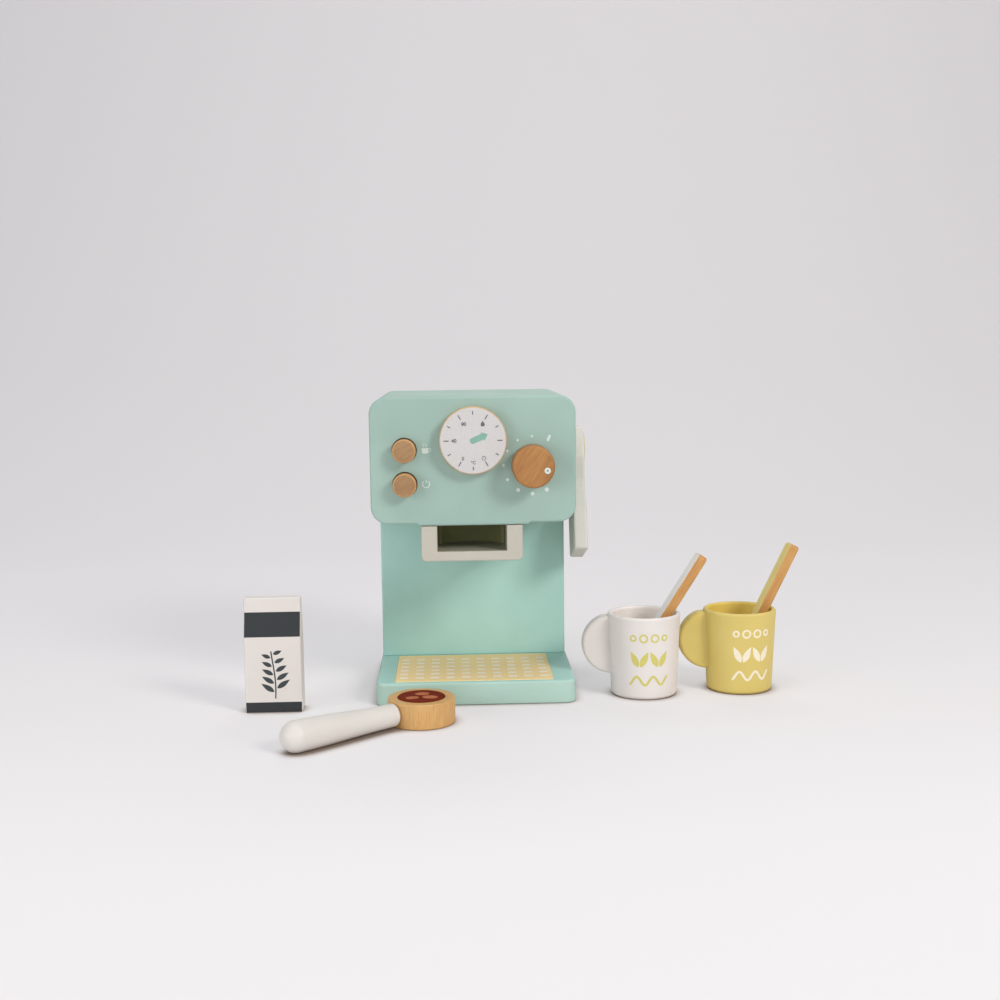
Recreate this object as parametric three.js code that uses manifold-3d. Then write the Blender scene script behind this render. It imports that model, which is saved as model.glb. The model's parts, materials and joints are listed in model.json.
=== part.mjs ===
// A wooden toy coffee maker with its filter, two cups, two spoons and a milk block.
// Millimetres, +Z up, front towards -Y. The origin is the middle of the base's underside.
import * as THREE from 'three';
import { mergeVertices } from 'three/addons/utils/BufferGeometryUtils.js';
import Module from 'manifold-3d';

const wasm = await Module();
wasm.setup();

// Head
const headWidth = 141;
const headHeight = 87;
const headOverhang = 89;
const headCornerRadius = 12;
const headFrontBoard = 8;
const headWall = 7;
const headEdgeRound = 1.5;
const lipPastBracket = 4;
const lipDrop = 1.5;

// Column under the head, set in from its sides
const columnSetIn = 1.5;
const columnDepth = 55;
const columnHeight = 112;
const columnBoard = 8;
const backBoard = 4;
const columnEdgeRound = 1;

// Base board and the printed tray on it
const baseSetIn = 0.5;
const baseDepth = 142;
const baseHeight = 16.25;
const baseFrontCornerRadius = 8;
const baseBackCornerRadius = 4;
const baseEdgeRound = 2;
const traySideMargin = 14.5;
const trayEndMargin = 4;
const trayOffset = -1.25;
const traySheetThickness = 0.5;

// Bracket that holds the filter, and the stop behind the filter
const bracketWidthShare = 0.495;
const bracketDrop = 26.25;
const bracketArm = 11;
const bracketFloor = 6.75;
const bracketDepth = 64;
const bracketSetBack = 0.5;
const bracketOffset = -1.5;
const bracketCornerRadius = 3.5;
const bracketPocketDepth = 50;
const stopHornLength = 14;

// Dial on the front
const dialRadius = 23;
const dialThickness = 8;
const dialFaceRadius = 22.3;
const dialFaceThickness = 0.5;
const dialHeight = 57.25;
const dialEdgeRound = 0.6;
const dialDowelRadius = 4;
const dialDowelSeat = 5;

// Turning knob
const knobRadius = 14.4;
const knobLength = 18;
const knobEdgeRound = 1.6;
const knobAcrossShare = 0.2865;
const knobHeight = 39.5;
const knobAxleRadius = 4;
const knobAxleSeat = 10;
const knobCollarRadius = 8;
const knobCollarLength = 4;
const markerRadius = 2.1;
const markerThickness = 1;
const markerReach = 9.6;
const markerAngle = -15.5;

// Push buttons
const buttonRadius = 8.15;
const buttonProud = 9;
const buttonEdgeRound = 1.4;
const buttonAcrossShare = -0.332;
const cupButtonHeight = 50.75;
const powerButtonHeight = 27.5;
const buttonHoleGap = 0.4;
const buttonStemRadius = 3.5;
const retainerRadius = 10.5;
const retainerThickness = 2.5;
const springWire = 0.8;
const springRadius = 5;
const springLength = 10;
const springTurns = 5;
const railWidth = 22;
const railBoard = 8;
const stemPastRail = 3;

// Lever on the right side
const leverPivotBehindColumnFront = 2;
const leverPivotHeight = 42.25;
const leverLean = 17.5;
const leverThickness = 10.2;
const leverHubRadius = 18.5;
const leverWaist = 25;
const leverPaddleWidth = 41;
const leverPaddleCorner = 3;
const leverNeckCorner = 9;
const leverReach = 78.5;
const leverNeckStart = 25;
const leverNeckEnd = 34;
const leverPaddleStart = 48;
const leverEdgeRound = 1.4;
const leverSpacer = 2.8;
const leverSpacerRadius = 12;
const leverAxleRadius = 4;
const leverCapRadius = 14;
const leverCapThickness = 2.5;
const leverCapSeat = 2;
const leverCapEdgeRound = 0.5;
const leverCollarRadius = 9;
const leverCollarLength = 4;

// Filter with its handle
const filterRadius = 22.5;
const filterHeight = 17;
const filterEdgeRound = 1;
const filterX = -37.4;
const filterY = -109.4;
const coffeeRadius = 15.7;
const coffeeDepth = 1.25;
const coffeeThickness = 1.75;
const handleHeading = 220;
const handleNeckRadius = 7.7;
const handleEndRadius = 10.2;
const handleLength = 87.2;
const handleNeckRound = 2;
const handleDowelRadius = 3;
const handleDowelSeat = 8;

// Cups
const cupRimRadius = 26;
const cupFootRadius = 23.25;
const cupHeight = 58.75;
const cupWall = 3.5;
const cupFloor = 5;
const cupFootRound = 2;
const cupInnerRound = 3;
const cupGripRadius = 21.2;
const cupGripThickness = 11;
const cupGripReach = 23.25;
const cupGripHeight = 36.8;
const cupGripRound = 2;
const cupGripBelowRim = 2;
const whiteCupX = 120.75;
const whiteCupY = -45.75;
const cupsApart = 0.3; // from the white cup's rim to the yellow cup's grip, along X
const yellowCupY = -37;

// Spoons: each stands in its cup, its foot to the left and its stem on the right of the rim
const spoonLength = 108;
const spoonWidth = 10;
const spoonThickness = 7.2;
const spoonBowlRadius = 9.5;
const spoonEndCorner = 2.5;
const spoonEdgeRound = 0.8;
const spoonRoll = 7.5;
const whiteSpoonFootRoom = 9.2;
const whiteSpoonRimRoom = 6;
const yellowSpoonFootRoom = 15.7;
const yellowSpoonRimRoom = 5.8;

// Milk block
const milkWidth = 38.9;
const milkDepth = 18;
const milkBody = 53.4;
const milkRoof = 16.4;
const milkCrimp = 9.6;
const milkCrimpThickness = 8;
const milkEdgeRound = 1;
const milkX = -139.5;
const milkFrontY = -79.5;

// Fastenings
const screwHeadRadius = 3.2;
const screwShankRadius = 1.5;
const screwHeadDepth = 1.8;
const screwLength = 16;
const longScrewLength = 30;
const longScrewSunk = 4;
const panelDowelRadius = 2;
const panelDowelSeat = 6;

// Room between pieces, and how far a cut runs past its piece
const clearance = 0.3;
const overrun = 2;

// Facets
const largeSteps = 44;
const smallSteps = 24;
const screwSteps = 12;
const cornerSteps = 4;
const edgeSteps = 2;
const wireSteps = 3;
const turnSteps = 8;

// Places worked out from the sizes
const columnWidth = headWidth - 2 * columnSetIn;
const baseWidth = headWidth - 2 * baseSetIn;
const bracketWidth = headWidth * bracketWidthShare;
const lipWidth = bracketWidth + 2 * lipPastBracket;
const knobAcross = headWidth * knobAcrossShare;
const buttonAcross = headWidth * buttonAcrossShare;
const columnFront = baseDepth / 2 - columnDepth;
const columnBack = baseDepth / 2;
const headFront = columnFront - headOverhang;
const headBottom = baseHeight + columnHeight;
const headTop = headBottom + headHeight;
const headMiddle = headBottom + headHeight / 2;
const shellFront = headFront + headFrontBoard;
const shellBack = columnBack - backBoard;
const railFront = shellFront + clearance + retainerThickness + clearance + springLength;
const buttonShoulder = shellFront + clearance;

const degrees = Math.PI / 180;
const paint = (color, roughness = 0.5) => new THREE.MeshStandardMaterial({ color, roughness, metalness: 0 });
const mint = paint('#a3cdbf');
const white = paint('#ece7df');
const yellow = paint('#dfc76f');
const cream = paint('#e6cf9b');
const beech = paint('#d39a5c', 0.6);
const paleBeech = paint('#dcb67d', 0.6);
const rawBoard = paint('#c4a77c', 0.8);
const darkBrown = paint('#4a3420');
const coffee = paint('#5a2416');
const slate = paint('#3d4448');
const steel = new THREE.MeshStandardMaterial({ color: '#b9bcbf', roughness: 0.35, metalness: 1 });

const coffeeMaker = new THREE.Group();

// One closed body with shared corners, no slivers, and its faces pointing out
function closed(geometry) {
  const bare = new THREE.BufferGeometry();
  bare.setAttribute('position', geometry.getAttribute('position').clone());
  if (geometry.index) bare.setIndex(geometry.index.clone());
  const merged = mergeVertices(bare, 1e-4);
  const spots = merged.getAttribute('position');
  const corners = merged.index.array;
  const kept = [];
  let volume = 0;
  const [a, b, c] = [new THREE.Vector3(), new THREE.Vector3(), new THREE.Vector3()];
  for (let i = 0; i < corners.length; i += 3) {
    const [p, q, r] = corners.slice(i, i + 3);
    if (p === q || q === r || r === p) continue;
    kept.push(p, q, r);
    a.fromBufferAttribute(spots, p);
    b.fromBufferAttribute(spots, q);
    c.fromBufferAttribute(spots, r);
    volume += a.dot(b.cross(c));
  }
  if (volume < 0) {
    for (let i = 0; i < kept.length; i += 3) [kept[i], kept[i + 1]] = [kept[i + 1], kept[i]];
  }
  merged.setIndex(kept);
  return merged;
}

function toSolid(geometry) {
  const body = closed(geometry);
  const vertProperties = Float32Array.from(body.getAttribute('position').array);
  const triVerts = Uint32Array.from(body.index.array);
  return new wasm.Manifold(new wasm.Mesh({ numProp: 3, vertProperties, triVerts }));
}

function toGeometry(solid) {
  const mesh = solid.getMesh();
  const geometry = new THREE.BufferGeometry();
  geometry.setAttribute('position', new THREE.BufferAttribute(mesh.vertProperties, 3));
  geometry.setIndex(new THREE.BufferAttribute(mesh.triVerts, 1));
  return geometry;
}

function cut(geometry, ...cutters) {
  return toGeometry(cutters.reduce((body, cutter) => body.subtract(toSolid(cutter)), toSolid(geometry)));
}

function shared(geometry, other) {
  return toGeometry(toSolid(geometry).intersect(toSolid(other)));
}

function join(geometry, ...others) {
  return toGeometry(others.reduce((body, other) => body.add(toSolid(other)), toSolid(geometry)));
}

function piece(name, geometry, material, parent = coffeeMaker) {
  const body = closed(geometry);
  body.computeVertexNormals();
  const mesh = new THREE.Mesh(body, material);
  mesh.name = name;
  parent.add(mesh);
  return mesh;
}

function place(mesh, x, y, z) {
  mesh.position.set(x, y, z);
  return mesh;
}

function moved(geometry, x, y, z) {
  return geometry.clone().translate(x, y, z);
}

// A box between two corners
function block([x0, y0, z0], [x1, y1, z1]) {
  const box = new THREE.BoxGeometry(x1 - x0, y1 - y0, z1 - z0);
  return box.translate((x0 + x1) / 2, (y0 + y1) / 2, (z0 + z1) / 2);
}

// Corner rounding as [depth, inset] steps of a quarter circle
function quarter(radius, steps = edgeSteps) {
  const arc = [];
  for (let i = 0; i <= steps; i += 1) {
    const angle = (i / steps) * (Math.PI / 2);
    arc.push([radius * (1 - Math.cos(angle)), radius * (1 - Math.sin(angle))]);
  }
  return arc;
}

// A turned solid: profile points are [radius, place along the axis]
function turned(profile, axis = 'z', steps = smallSteps) {
  const geometry = new THREE.LatheGeometry(profile.map(([r, h]) => new THREE.Vector2(r, h)), steps);
  if (axis === 'z') geometry.rotateX(Math.PI / 2);
  if (axis === 'x') geometry.rotateZ(-Math.PI / 2);
  return closed(geometry);
}

// A turned disc or rod from one end to the other, each end with its own edge rounding
function rod(radius, from, to, axis, steps = smallSteps, roundFrom = 0, roundTo = 0) {
  const profile = [[0, from]];
  if (roundFrom) quarter(roundFrom).forEach(([d, inset]) => profile.push([radius - inset, from + d]));
  else profile.push([radius, from]);
  if (roundTo) quarter(roundTo).reverse().forEach(([d, inset]) => profile.push([radius - inset, to - d]));
  else profile.push([radius, to]);
  profile.push([0, to]);
  return turned(profile, axis, steps);
}

// A closed outline through corner points [x, y, radius], moved in by an inset, with each corner rounded
function outline(corners, inset = 0) {
  const count = corners.length;
  const spots = corners.map(([x, y]) => new THREE.Vector2(x, y));
  const turn = THREE.ShapeUtils.isClockWise(spots) ? -1 : 1;
  const inward = (from, to) => {
    const along = to.clone().sub(from).normalize();
    return new THREE.Vector2(-along.y, along.x).multiplyScalar(turn);
  };
  const points = [];
  for (let i = 0; i < count; i += 1) {
    const [before, here, after] = [spots[(i + count - 1) % count], spots[i], spots[(i + 1) % count]];
    const [n0, n1] = [inward(before, here), inward(here, after)];
    const split = n0.clone().add(n1);
    const reach = 2 / split.lengthSq();
    const corner = here.clone().addScaledVector(split, inset * reach);
    const bend = turn * Math.sign(n0.x * n1.y - n0.y * n1.x);
    const radius = Math.max(corners[i][2] - bend * inset, 0);
    if (!corners[i][2]) {
      points.push(corner);
      continue;
    }
    const centre = corner.clone().addScaledVector(split, bend * radius * reach);
    const [start, end] = [n0.clone().multiplyScalar(-bend), n1.clone().multiplyScalar(-bend)];
    const sweep = Math.atan2(start.x * end.y - start.y * end.x, start.dot(end));
    for (let step = 0; step <= cornerSteps; step += 1) {
      const spoke = start.clone().rotateAround(new THREE.Vector2(), (sweep * step) / cornerSteps);
      points.push(centre.clone().addScaledVector(spoke, radius));
    }
  }
  return points;
}

// Outlines stacked along one axis: levels are [height, inset]
function stack(corners, levels, axis = 'z') {
  const rings = levels.map(([height, inset]) => outline(corners, inset).map((p) => [p.x, p.y, height]));
  const count = rings[0].length;
  const faces = [];
  for (let k = 0; k + 1 < rings.length; k += 1) {
    for (let i = 0; i < count; i += 1) {
      const [a, b] = [k * count + i, k * count + ((i + 1) % count)];
      faces.push(a, b, b + count, a, b + count, a + count);
    }
  }
  const capAt = (k) => rings[k].map(([x, y]) => new THREE.Vector2(x, y));
  const last = rings.length - 1;
  THREE.ShapeUtils.triangulateShape(capAt(0), []).forEach(([p, q, r]) => faces.push(p, r, q));
  THREE.ShapeUtils.triangulateShape(capAt(last), []).forEach(([p, q, r]) => {
    faces.push(last * count + p, last * count + q, last * count + r);
  });
  const geometry = new THREE.BufferGeometry();
  geometry.setAttribute('position', new THREE.Float32BufferAttribute(rings.flat(2), 3));
  geometry.setIndex(faces);
  if (axis === 'y') geometry.rotateX(Math.PI / 2);
  if (axis === 'x') geometry.rotateX(Math.PI / 2).rotateZ(Math.PI / 2);
  return geometry;
}

// Levels of a slab with a rounded edge at each end where a radius is given
function slab(thickness, roundLow = 0, roundHigh = 0) {
  const low = roundLow ? quarter(roundLow) : [[0, 0]];
  const high = roundHigh ? quarter(roundHigh).reverse() : [[0, 0]];
  return [...low.map(([d, inset]) => [d, inset]), ...high.map(([d, inset]) => [thickness - d, inset])];
}

function rectangle(width, height, radius = 0, [x, y] = [0, 0]) {
  const [w, h] = [width / 2, height / 2];
  return [[x - w, y - h, radius], [x + w, y - h, radius], [x + w, y + h, radius], [x - w, y + h, radius]];
}

// A countersunk wood screw along +axis from its head, and the hole that clears it
function screwProfile(length, grow = 0, sunk = 0) {
  const [head, shank] = [screwHeadRadius + grow, screwShankRadius + grow];
  const profile = [[0, -sunk], [head, -sunk]];
  if (sunk) profile.push([head, 0]);
  return [...profile, [shank, screwHeadDepth], [shank, length + grow], [0, length + grow]];
}

function aim(geometry, direction) {
  const turn = new THREE.Quaternion().setFromUnitVectors(new THREE.Vector3(0, 0, 1), direction);
  return geometry.applyQuaternion(turn);
}

const into = {
  up: new THREE.Vector3(0, 0, 1),
  down: new THREE.Vector3(0, 0, -1),
  forward: new THREE.Vector3(0, -1, 0),
};

// One screw for each place, named with its side, and the holes that clear them
function screws(name, places, direction, length) {
  places.forEach((spot) => {
    const screw = moved(aim(turned(screwProfile(length), 'z', screwSteps), direction), ...spot);
    piece(`${name}_${spot[0] < 0 ? 'left' : 'right'}`, screw, steel);
  });
}

function screwHoles(places, direction, length) {
  return places.map((spot) => {
    const hole = turned(screwProfile(length, clearance, overrun), 'z', screwSteps);
    return moved(aim(hole, direction), ...spot);
  });
}

// Where the screws start, each at its head, and where the dowels cross the joint
const mirrored = (x, ...rest) => [[-x, ...rest], [x, ...rest]];
const sideBoardMiddle = columnWidth / 2 - columnBoard / 2;
const shellWallMiddle = headWidth / 2 - headWall / 2;
const baseScrews = mirrored(sideBoardMiddle, columnBack - columnDepth / 2, longScrewSunk);
const headScrews = mirrored(headWidth / 4, columnFront + columnBoard / 2, headBottom + headWall);
const headBackTopScrews = mirrored(headWidth / 4, columnBack, headTop - headWall / 2);
const headBackSideScrews = mirrored(shellWallMiddle, columnBack, headMiddle);
const headBackScrews = [...headBackTopScrews, ...headBackSideScrews];
const bracketArmMiddle = bracketWidth / 2 - bracketArm / 2;
const bracketMiddle = headFront + bracketSetBack + bracketDepth / 2;
const bracketScrews = [
  [bracketOffset - bracketArmMiddle, bracketMiddle, headBottom + headWall],
  [bracketOffset + bracketArmMiddle, bracketMiddle, headBottom + headWall],
];
const panelDowels = mirrored(shellWallMiddle, shellFront, headMiddle);
const leverPivot = [headWidth / 2, columnFront + leverPivotBehindColumnFront, headBottom + leverPivotHeight];
const shellInnerSide = headWidth / 2 - headWall;

function makeBase() {
  const [w, d] = [baseWidth / 2, baseDepth / 2];
  const [front, back] = [baseFrontCornerRadius, baseBackCornerRadius];
  const corners = [[-w, -d, front], [w, -d, front], [w, d, back], [-w, d, back]];
  const board = stack(corners, slab(baseHeight, baseEdgeRound / 2, baseEdgeRound));
  const wells = baseScrews.map(([x, y]) => {
    return moved(rod(screwHeadRadius + clearance, -overrun, longScrewSunk, 'z', screwSteps), x, y, 0);
  });
  piece('base_board', cut(board, ...wells, ...screwHoles(baseScrews, into.up, longScrewLength)), mint);

  const trayDepth = columnFront + d - 2 * trayEndMargin;
  const sheet = stack(rectangle(baseWidth - 2 * traySideMargin, trayDepth), slab(traySheetThickness));
  const trayMiddle = columnFront - trayEndMargin - trayDepth / 2;
  place(piece('tray_sheet', sheet, cream), trayOffset, trayMiddle, baseHeight);
  screws('base_screw', baseScrews, into.up, longScrewLength);
}

function makeColumn() {
  const [w, t] = [columnWidth / 2, columnBoard];
  const frontCorners = [
    [-w, columnFront, columnEdgeRound],
    [w, columnFront, columnEdgeRound],
    [w, columnFront + t, 0],
    [-w, columnFront + t, 0],
  ];
  const front = moved(stack(frontCorners, slab(columnHeight)), 0, 0, baseHeight);
  const headHoles = screwHoles(headScrews, into.down, longScrewLength - headWall);
  piece('column_front_board', cut(front, ...headHoles), mint);

  for (const [side, name] of [[-1, 'column_left_board'], [1, 'column_right_board']]) {
    const inner = side * (w - t);
    const outer = side * w;
    const low = [Math.min(inner, outer), columnFront + t, baseHeight];
    const high = [Math.max(inner, outer), columnBack - backBoard, headBottom];
    const holes = screwHoles(baseScrews.filter(([x]) => x * side > 0), into.up, longScrewLength);
    piece(name, cut(block(low, high), ...holes), mint);
  }

  const back = block([-w, columnBack - backBoard, baseHeight], [w, columnBack, headBottom]);
  piece('column_back_board', back, mint);
}

// The head's outline seen from the front, with its lip over the bracket where asked
function headOutline(inset = 0, lip = false) {
  const [w, h] = [headWidth / 2 - inset, headHeight / 2 - inset];
  const radius = headCornerRadius - inset;
  const low = [[-w, -h, radius]];
  if (lip) {
    const [l, drop] = [lipWidth / 2, lipDrop];
    const bend = drop / 2;
    low.push([-l, -h, bend], [drop - l, -h - drop, bend]);
    low.push([l - drop, -h - drop, bend], [l, -h, bend]);
  }
  return [...low, [w, -h, radius], [w, h, radius], [-w, h, radius]];
}

// A board of the head's sleeve: the part of its rounded outline between two corners
function makeSleeveBoard(name, outer, [x0, z0], [x1, z1], holes) {
  const part = block([x0, shellFront - overrun, z0], [x1, shellBack + overrun, z1]);
  piece(name, cut(shared(outer, part), ...holes), mint);
}

function makeHead() {
  const through = (radius, x, z) => {
    return moved(rod(radius, -headFrontBoard - overrun, overrun, 'y'), x, shellFront, z);
  };
  const dowelHoles = panelDowels.map((spot) => {
    const depth = panelDowelSeat + clearance;
    return moved(rod(panelDowelRadius + clearance, -depth, depth, 'y'), ...spot);
  });
  const face = stack(headOutline(0, true), slab(headFrontBoard, 0, headEdgeRound), 'y');
  const faceHoles = [
    through(buttonRadius + buttonHoleGap, buttonAcross, headBottom + cupButtonHeight),
    through(buttonRadius + buttonHoleGap, buttonAcross, headBottom + powerButtonHeight),
    through(knobAxleRadius + clearance, knobAcross, headBottom + knobHeight),
    through(dialDowelRadius + clearance, 0, headBottom + dialHeight),
    ...dowelHoles,
  ];
  piece('head_front_board', cut(moved(face, 0, shellFront, headMiddle), ...faceHoles), mint);

  const outer = moved(stack(headOutline(), slab(shellBack - shellFront), 'y'), 0, shellBack, headMiddle);
  const [side, inner] = [headWidth / 2, headWidth / 2 - headWall];
  const [floorTop, ceiling] = [headBottom + headWall, headTop - headWall];
  const backHoles = screwHoles(headBackScrews, into.forward, screwLength);
  const axleHole = rod(leverAxleRadius + clearance, -headWall - overrun, overrun, 'x');
  const floorHoles = [
    ...screwHoles(headScrews, into.down, longScrewLength - headWall),
    ...screwHoles(bracketScrews, into.down, screwLength),
  ];
  const [below, above] = [headBottom - overrun, headTop + overrun];
  makeSleeveBoard('head_floor_board', outer, [-inner, below], [inner, floorTop], floorHoles);
  makeSleeveBoard('head_top_board', outer, [-inner, ceiling], [inner, above], backHoles);
  const sideHoles = [...dowelHoles, ...backHoles, moved(axleHole, ...leverPivot)];
  makeSleeveBoard('head_left_board', outer, [-side - overrun, below], [-inner, above], sideHoles);
  makeSleeveBoard('head_right_board', outer, [inner, below], [side + overrun, above], sideHoles);

  const back = moved(stack(headOutline(), slab(backBoard), 'y'), 0, columnBack, headMiddle);
  piece('head_back_board', cut(back, ...backHoles), mint);
  screws('head_back_top_screw', headBackTopScrews, into.forward, screwLength);
  screws('head_back_side_screw', headBackSideScrews, into.forward, screwLength);
  screws('head_screw', headScrews, into.down, longScrewLength - headWall);

  const dowel = rod(panelDowelRadius, -panelDowelSeat, panelDowelSeat, 'y', screwSteps);
  panelDowels.forEach((spot) => {
    piece(`panel_dowel_${spot[0] < 0 ? 'left' : 'right'}`, moved(dowel, ...spot), paleBeech);
  });
}

function makeBracket() {
  const [w, arm] = [bracketWidth / 2, bracketArm];
  const [front, floor] = [headFront + bracketSetBack, bracketFloor - bracketDrop];
  const corners = [
    [-w, -bracketDrop, bracketCornerRadius], [w, -bracketDrop, bracketCornerRadius],
    [w, 0, 0], [w - arm, 0, 0], [w - arm, floor, 0],
    [arm - w, floor, 0], [arm - w, 0, 0], [-w, 0, 0],
  ];
  const channel = stack(corners, slab(bracketDepth), 'y');
  const underLip = block(
    [bracketOffset - bracketWidth, front - overrun, headBottom - lipDrop - clearance],
    [bracketOffset + bracketWidth, shellFront + clearance, headBottom + overrun],
  );
  const holes = screwHoles(bracketScrews, into.down, screwLength);
  const body = moved(channel, bracketOffset, front + bracketDepth, headBottom);
  piece('brew_bracket', cut(body, underLip, ...holes), white);
  screws('bracket_screw', bracketScrews, into.down, screwLength);

  const seatRadius = filterRadius + 2 * clearance;
  const seatBottom = front + bracketPocketDepth;
  const stop = block(
    [bracketOffset + arm - w + clearance, seatBottom - stopHornLength, headBottom + floor],
    [bracketOffset + w - arm - clearance, front + bracketDepth, headBottom - clearance],
  );
  const seat = rod(seatRadius, headBottom - bracketDrop - overrun, headBottom + overrun, 'z', largeSteps);
  piece('filter_stop', cut(stop, moved(seat, bracketOffset, seatBottom - seatRadius, 0)), darkBrown);
}

function makeDial() {
  const disc = rod(dialRadius, -dialThickness, 0, 'y', largeSteps, dialEdgeRound, 0);
  const seat = rod(dialDowelRadius + clearance, -dialDowelSeat - clearance, overrun, 'y');
  const height = headBottom + dialHeight;
  place(piece('dial_disc', cut(disc, seat), beech), 0, headFront, height);
  const face = rod(dialFaceRadius, -dialFaceThickness, 0, 'y', largeSteps);
  place(piece('dial_face', face, white), 0, headFront - dialThickness, height);
  const dowel = rod(dialDowelRadius, -dialDowelSeat, headFrontBoard, 'y');
  place(piece('dial_dowel', dowel, paleBeech), 0, headFront, height);
}

function makeKnob() {
  const height = headBottom + knobHeight;
  const [back, front] = [-clearance, -clearance - knobLength];
  const turn = markerAngle * degrees;
  const marker = [Math.cos(turn) * markerReach, 0, Math.sin(turn) * markerReach];
  const cap = rod(knobRadius, front, back, 'y', largeSteps, knobEdgeRound, 0);
  const axleHole = rod(knobAxleRadius + clearance, back - knobAxleSeat - clearance, back + overrun, 'y');
  const markerHole = moved(
    rod(markerRadius + clearance, front - overrun, front + markerThickness, 'y', smallSteps),
    ...marker,
  );
  place(piece('knob_cap', cut(cap, axleHole, markerHole), beech), knobAcross, headFront, height);
  const dot = moved(rod(markerRadius, front, front + markerThickness, 'y', smallSteps), ...marker);
  place(piece('knob_marker', dot, white), knobAcross, headFront, height);

  const collarFront = headFrontBoard + clearance;
  const axleEnd = collarFront + knobCollarLength + clearance;
  const axle = rod(knobAxleRadius, back - knobAxleSeat, axleEnd, 'y');
  place(piece('knob_axle', axle, paleBeech), knobAcross, headFront, height);
  const collar = rod(knobCollarRadius, collarFront, collarFront + knobCollarLength, 'y');
  const bore = rod(knobAxleRadius + clearance, 0, collarFront + knobCollarLength + overrun, 'y');
  place(piece('knob_collar', cut(collar, bore), paleBeech), knobAcross, headFront, height);
}

// A round wire wound along +Y
class Coil extends THREE.Curve {
  getPoint(share, target = new THREE.Vector3()) {
    const angle = share * springTurns * 2 * Math.PI;
    const run = springLength - springWire;
    const along = springWire / 2 + run * share;
    return target.set(springRadius * Math.cos(angle), along, springRadius * Math.sin(angle));
  }
}

function makeButton(name, height) {
  const front = headFront - buttonProud;
  const at = (mesh) => place(mesh, buttonAcross, 0, headBottom + height);
  const stemBack = railFront + railBoard + stemPastRail;
  const cap = rod(buttonRadius, front, buttonShoulder, 'y', smallSteps * 1.5, buttonEdgeRound, 0);
  const stem = rod(buttonStemRadius, buttonShoulder - overrun, stemBack, 'y');
  at(piece(`${name}_cap`, join(cap, stem), beech));

  const ring = rod(retainerRadius, buttonShoulder, buttonShoulder + retainerThickness, 'y');
  const bore = rod(buttonStemRadius + clearance, buttonShoulder - overrun, railFront, 'y');
  at(piece(`${name}_retainer`, cut(ring, bore), paleBeech));

  const section = new THREE.Shape();
  section.absarc(0, 0, springWire / 2, 0, 2 * Math.PI);
  const wire = new THREE.ExtrudeGeometry(section, {
    extrudePath: new Coil(), steps: springTurns * turnSteps, curveSegments: wireSteps, bevelEnabled: false,
  });
  const spring = at(piece(`${name}_spring`, wire, steel));
  spring.position.y = railFront - springLength;
}

function makeButtons() {
  makeButton('cup_button', cupButtonHeight);
  makeButton('power_button', powerButtonHeight);
  const rail = block(
    [buttonAcross - railWidth / 2, railFront, headBottom + headWall],
    [buttonAcross + railWidth / 2, railFront + railBoard, headTop - headWall],
  );
  const guides = [cupButtonHeight, powerButtonHeight].map((height) => {
    const railBack = railFront + railBoard;
    const hole = rod(buttonStemRadius + clearance, railFront - overrun, railBack + overrun, 'y');
    return moved(hole, buttonAcross, 0, headBottom + height);
  });
  piece('button_rail', cut(rail, ...guides), rawBoard);
}

// The lever's outline, hub at zero and paddle down, as [along Y, along Z, corner radius]
function leverOutline() {
  const [hub, waist, paddle] = [leverHubRadius, leverWaist / 2, leverPaddleWidth / 2];
  const right = [
    [paddle, -leverReach, leverPaddleCorner],
    [paddle, -leverPaddleStart, leverNeckCorner],
    [waist, -leverNeckEnd, leverNeckCorner],
    [waist, -leverNeckStart, leverNeckCorner],
    [hub, -hub / 2, leverNeckCorner],
    [hub, hub, hub],
  ];
  const left = right.map(([y, z, radius]) => [-y, z, radius]).reverse();
  return [...right, ...left];
}

function makeLever() {
  const lever = new THREE.Group();
  lever.position.set(...leverPivot);
  lever.rotation.x = -leverLean * degrees;
  coffeeMaker.add(lever);

  const inner = leverSpacer;
  const outer = inner + leverThickness;
  const arm = stack(leverOutline(), slab(leverThickness, leverEdgeRound, leverEdgeRound), 'x');
  const capSeat = rod(leverCapRadius + clearance, outer - leverCapSeat, outer + overrun, 'x', largeSteps);
  const axleHole = rod(leverAxleRadius + clearance, inner - overrun, outer - leverCapSeat, 'x');
  piece('lever_arm', cut(moved(arm, inner, 0, 0), capSeat, axleHole), white, lever);

  const capInner = outer - leverCapSeat + clearance;
  const capOuter = capInner + leverCapThickness;
  const cap = rod(leverCapRadius, capInner, capOuter, 'x', largeSteps, 0, leverCapEdgeRound);
  const screwAt = [[capOuter, 0, 0]];
  const inward = new THREE.Vector3(-1, 0, 0);
  const screwHole = screwHoles(screwAt, inward, screwLength);
  piece('lever_cap', cut(cap, ...screwHole), yellow, lever);
  const screw = moved(aim(turned(screwProfile(screwLength), 'z', screwSteps), inward), ...screwAt[0]);
  piece('lever_screw', screw, slate, lever);

  const collarOuter = -headWall - clearance;
  const collarInner = collarOuter - leverCollarLength;
  const axle = rod(leverAxleRadius, collarInner - clearance, outer - leverCapSeat - clearance, 'x');
  piece('lever_axle', cut(axle, ...screwHole), paleBeech, lever);
  const collar = rod(leverCollarRadius, collarInner, collarOuter, 'x');
  const bore = rod(leverAxleRadius + clearance, collarInner - overrun, collarOuter + overrun, 'x');
  piece('lever_collar', cut(collar, bore), paleBeech, lever);
  const spacer = rod(leverSpacerRadius, clearance, leverSpacer - clearance, 'x');
  const spacerBore = rod(leverAxleRadius + clearance, -overrun, leverSpacer + overrun, 'x');
  piece('lever_spacer', cut(spacer, spacerBore), paleBeech, lever);
}

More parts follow.
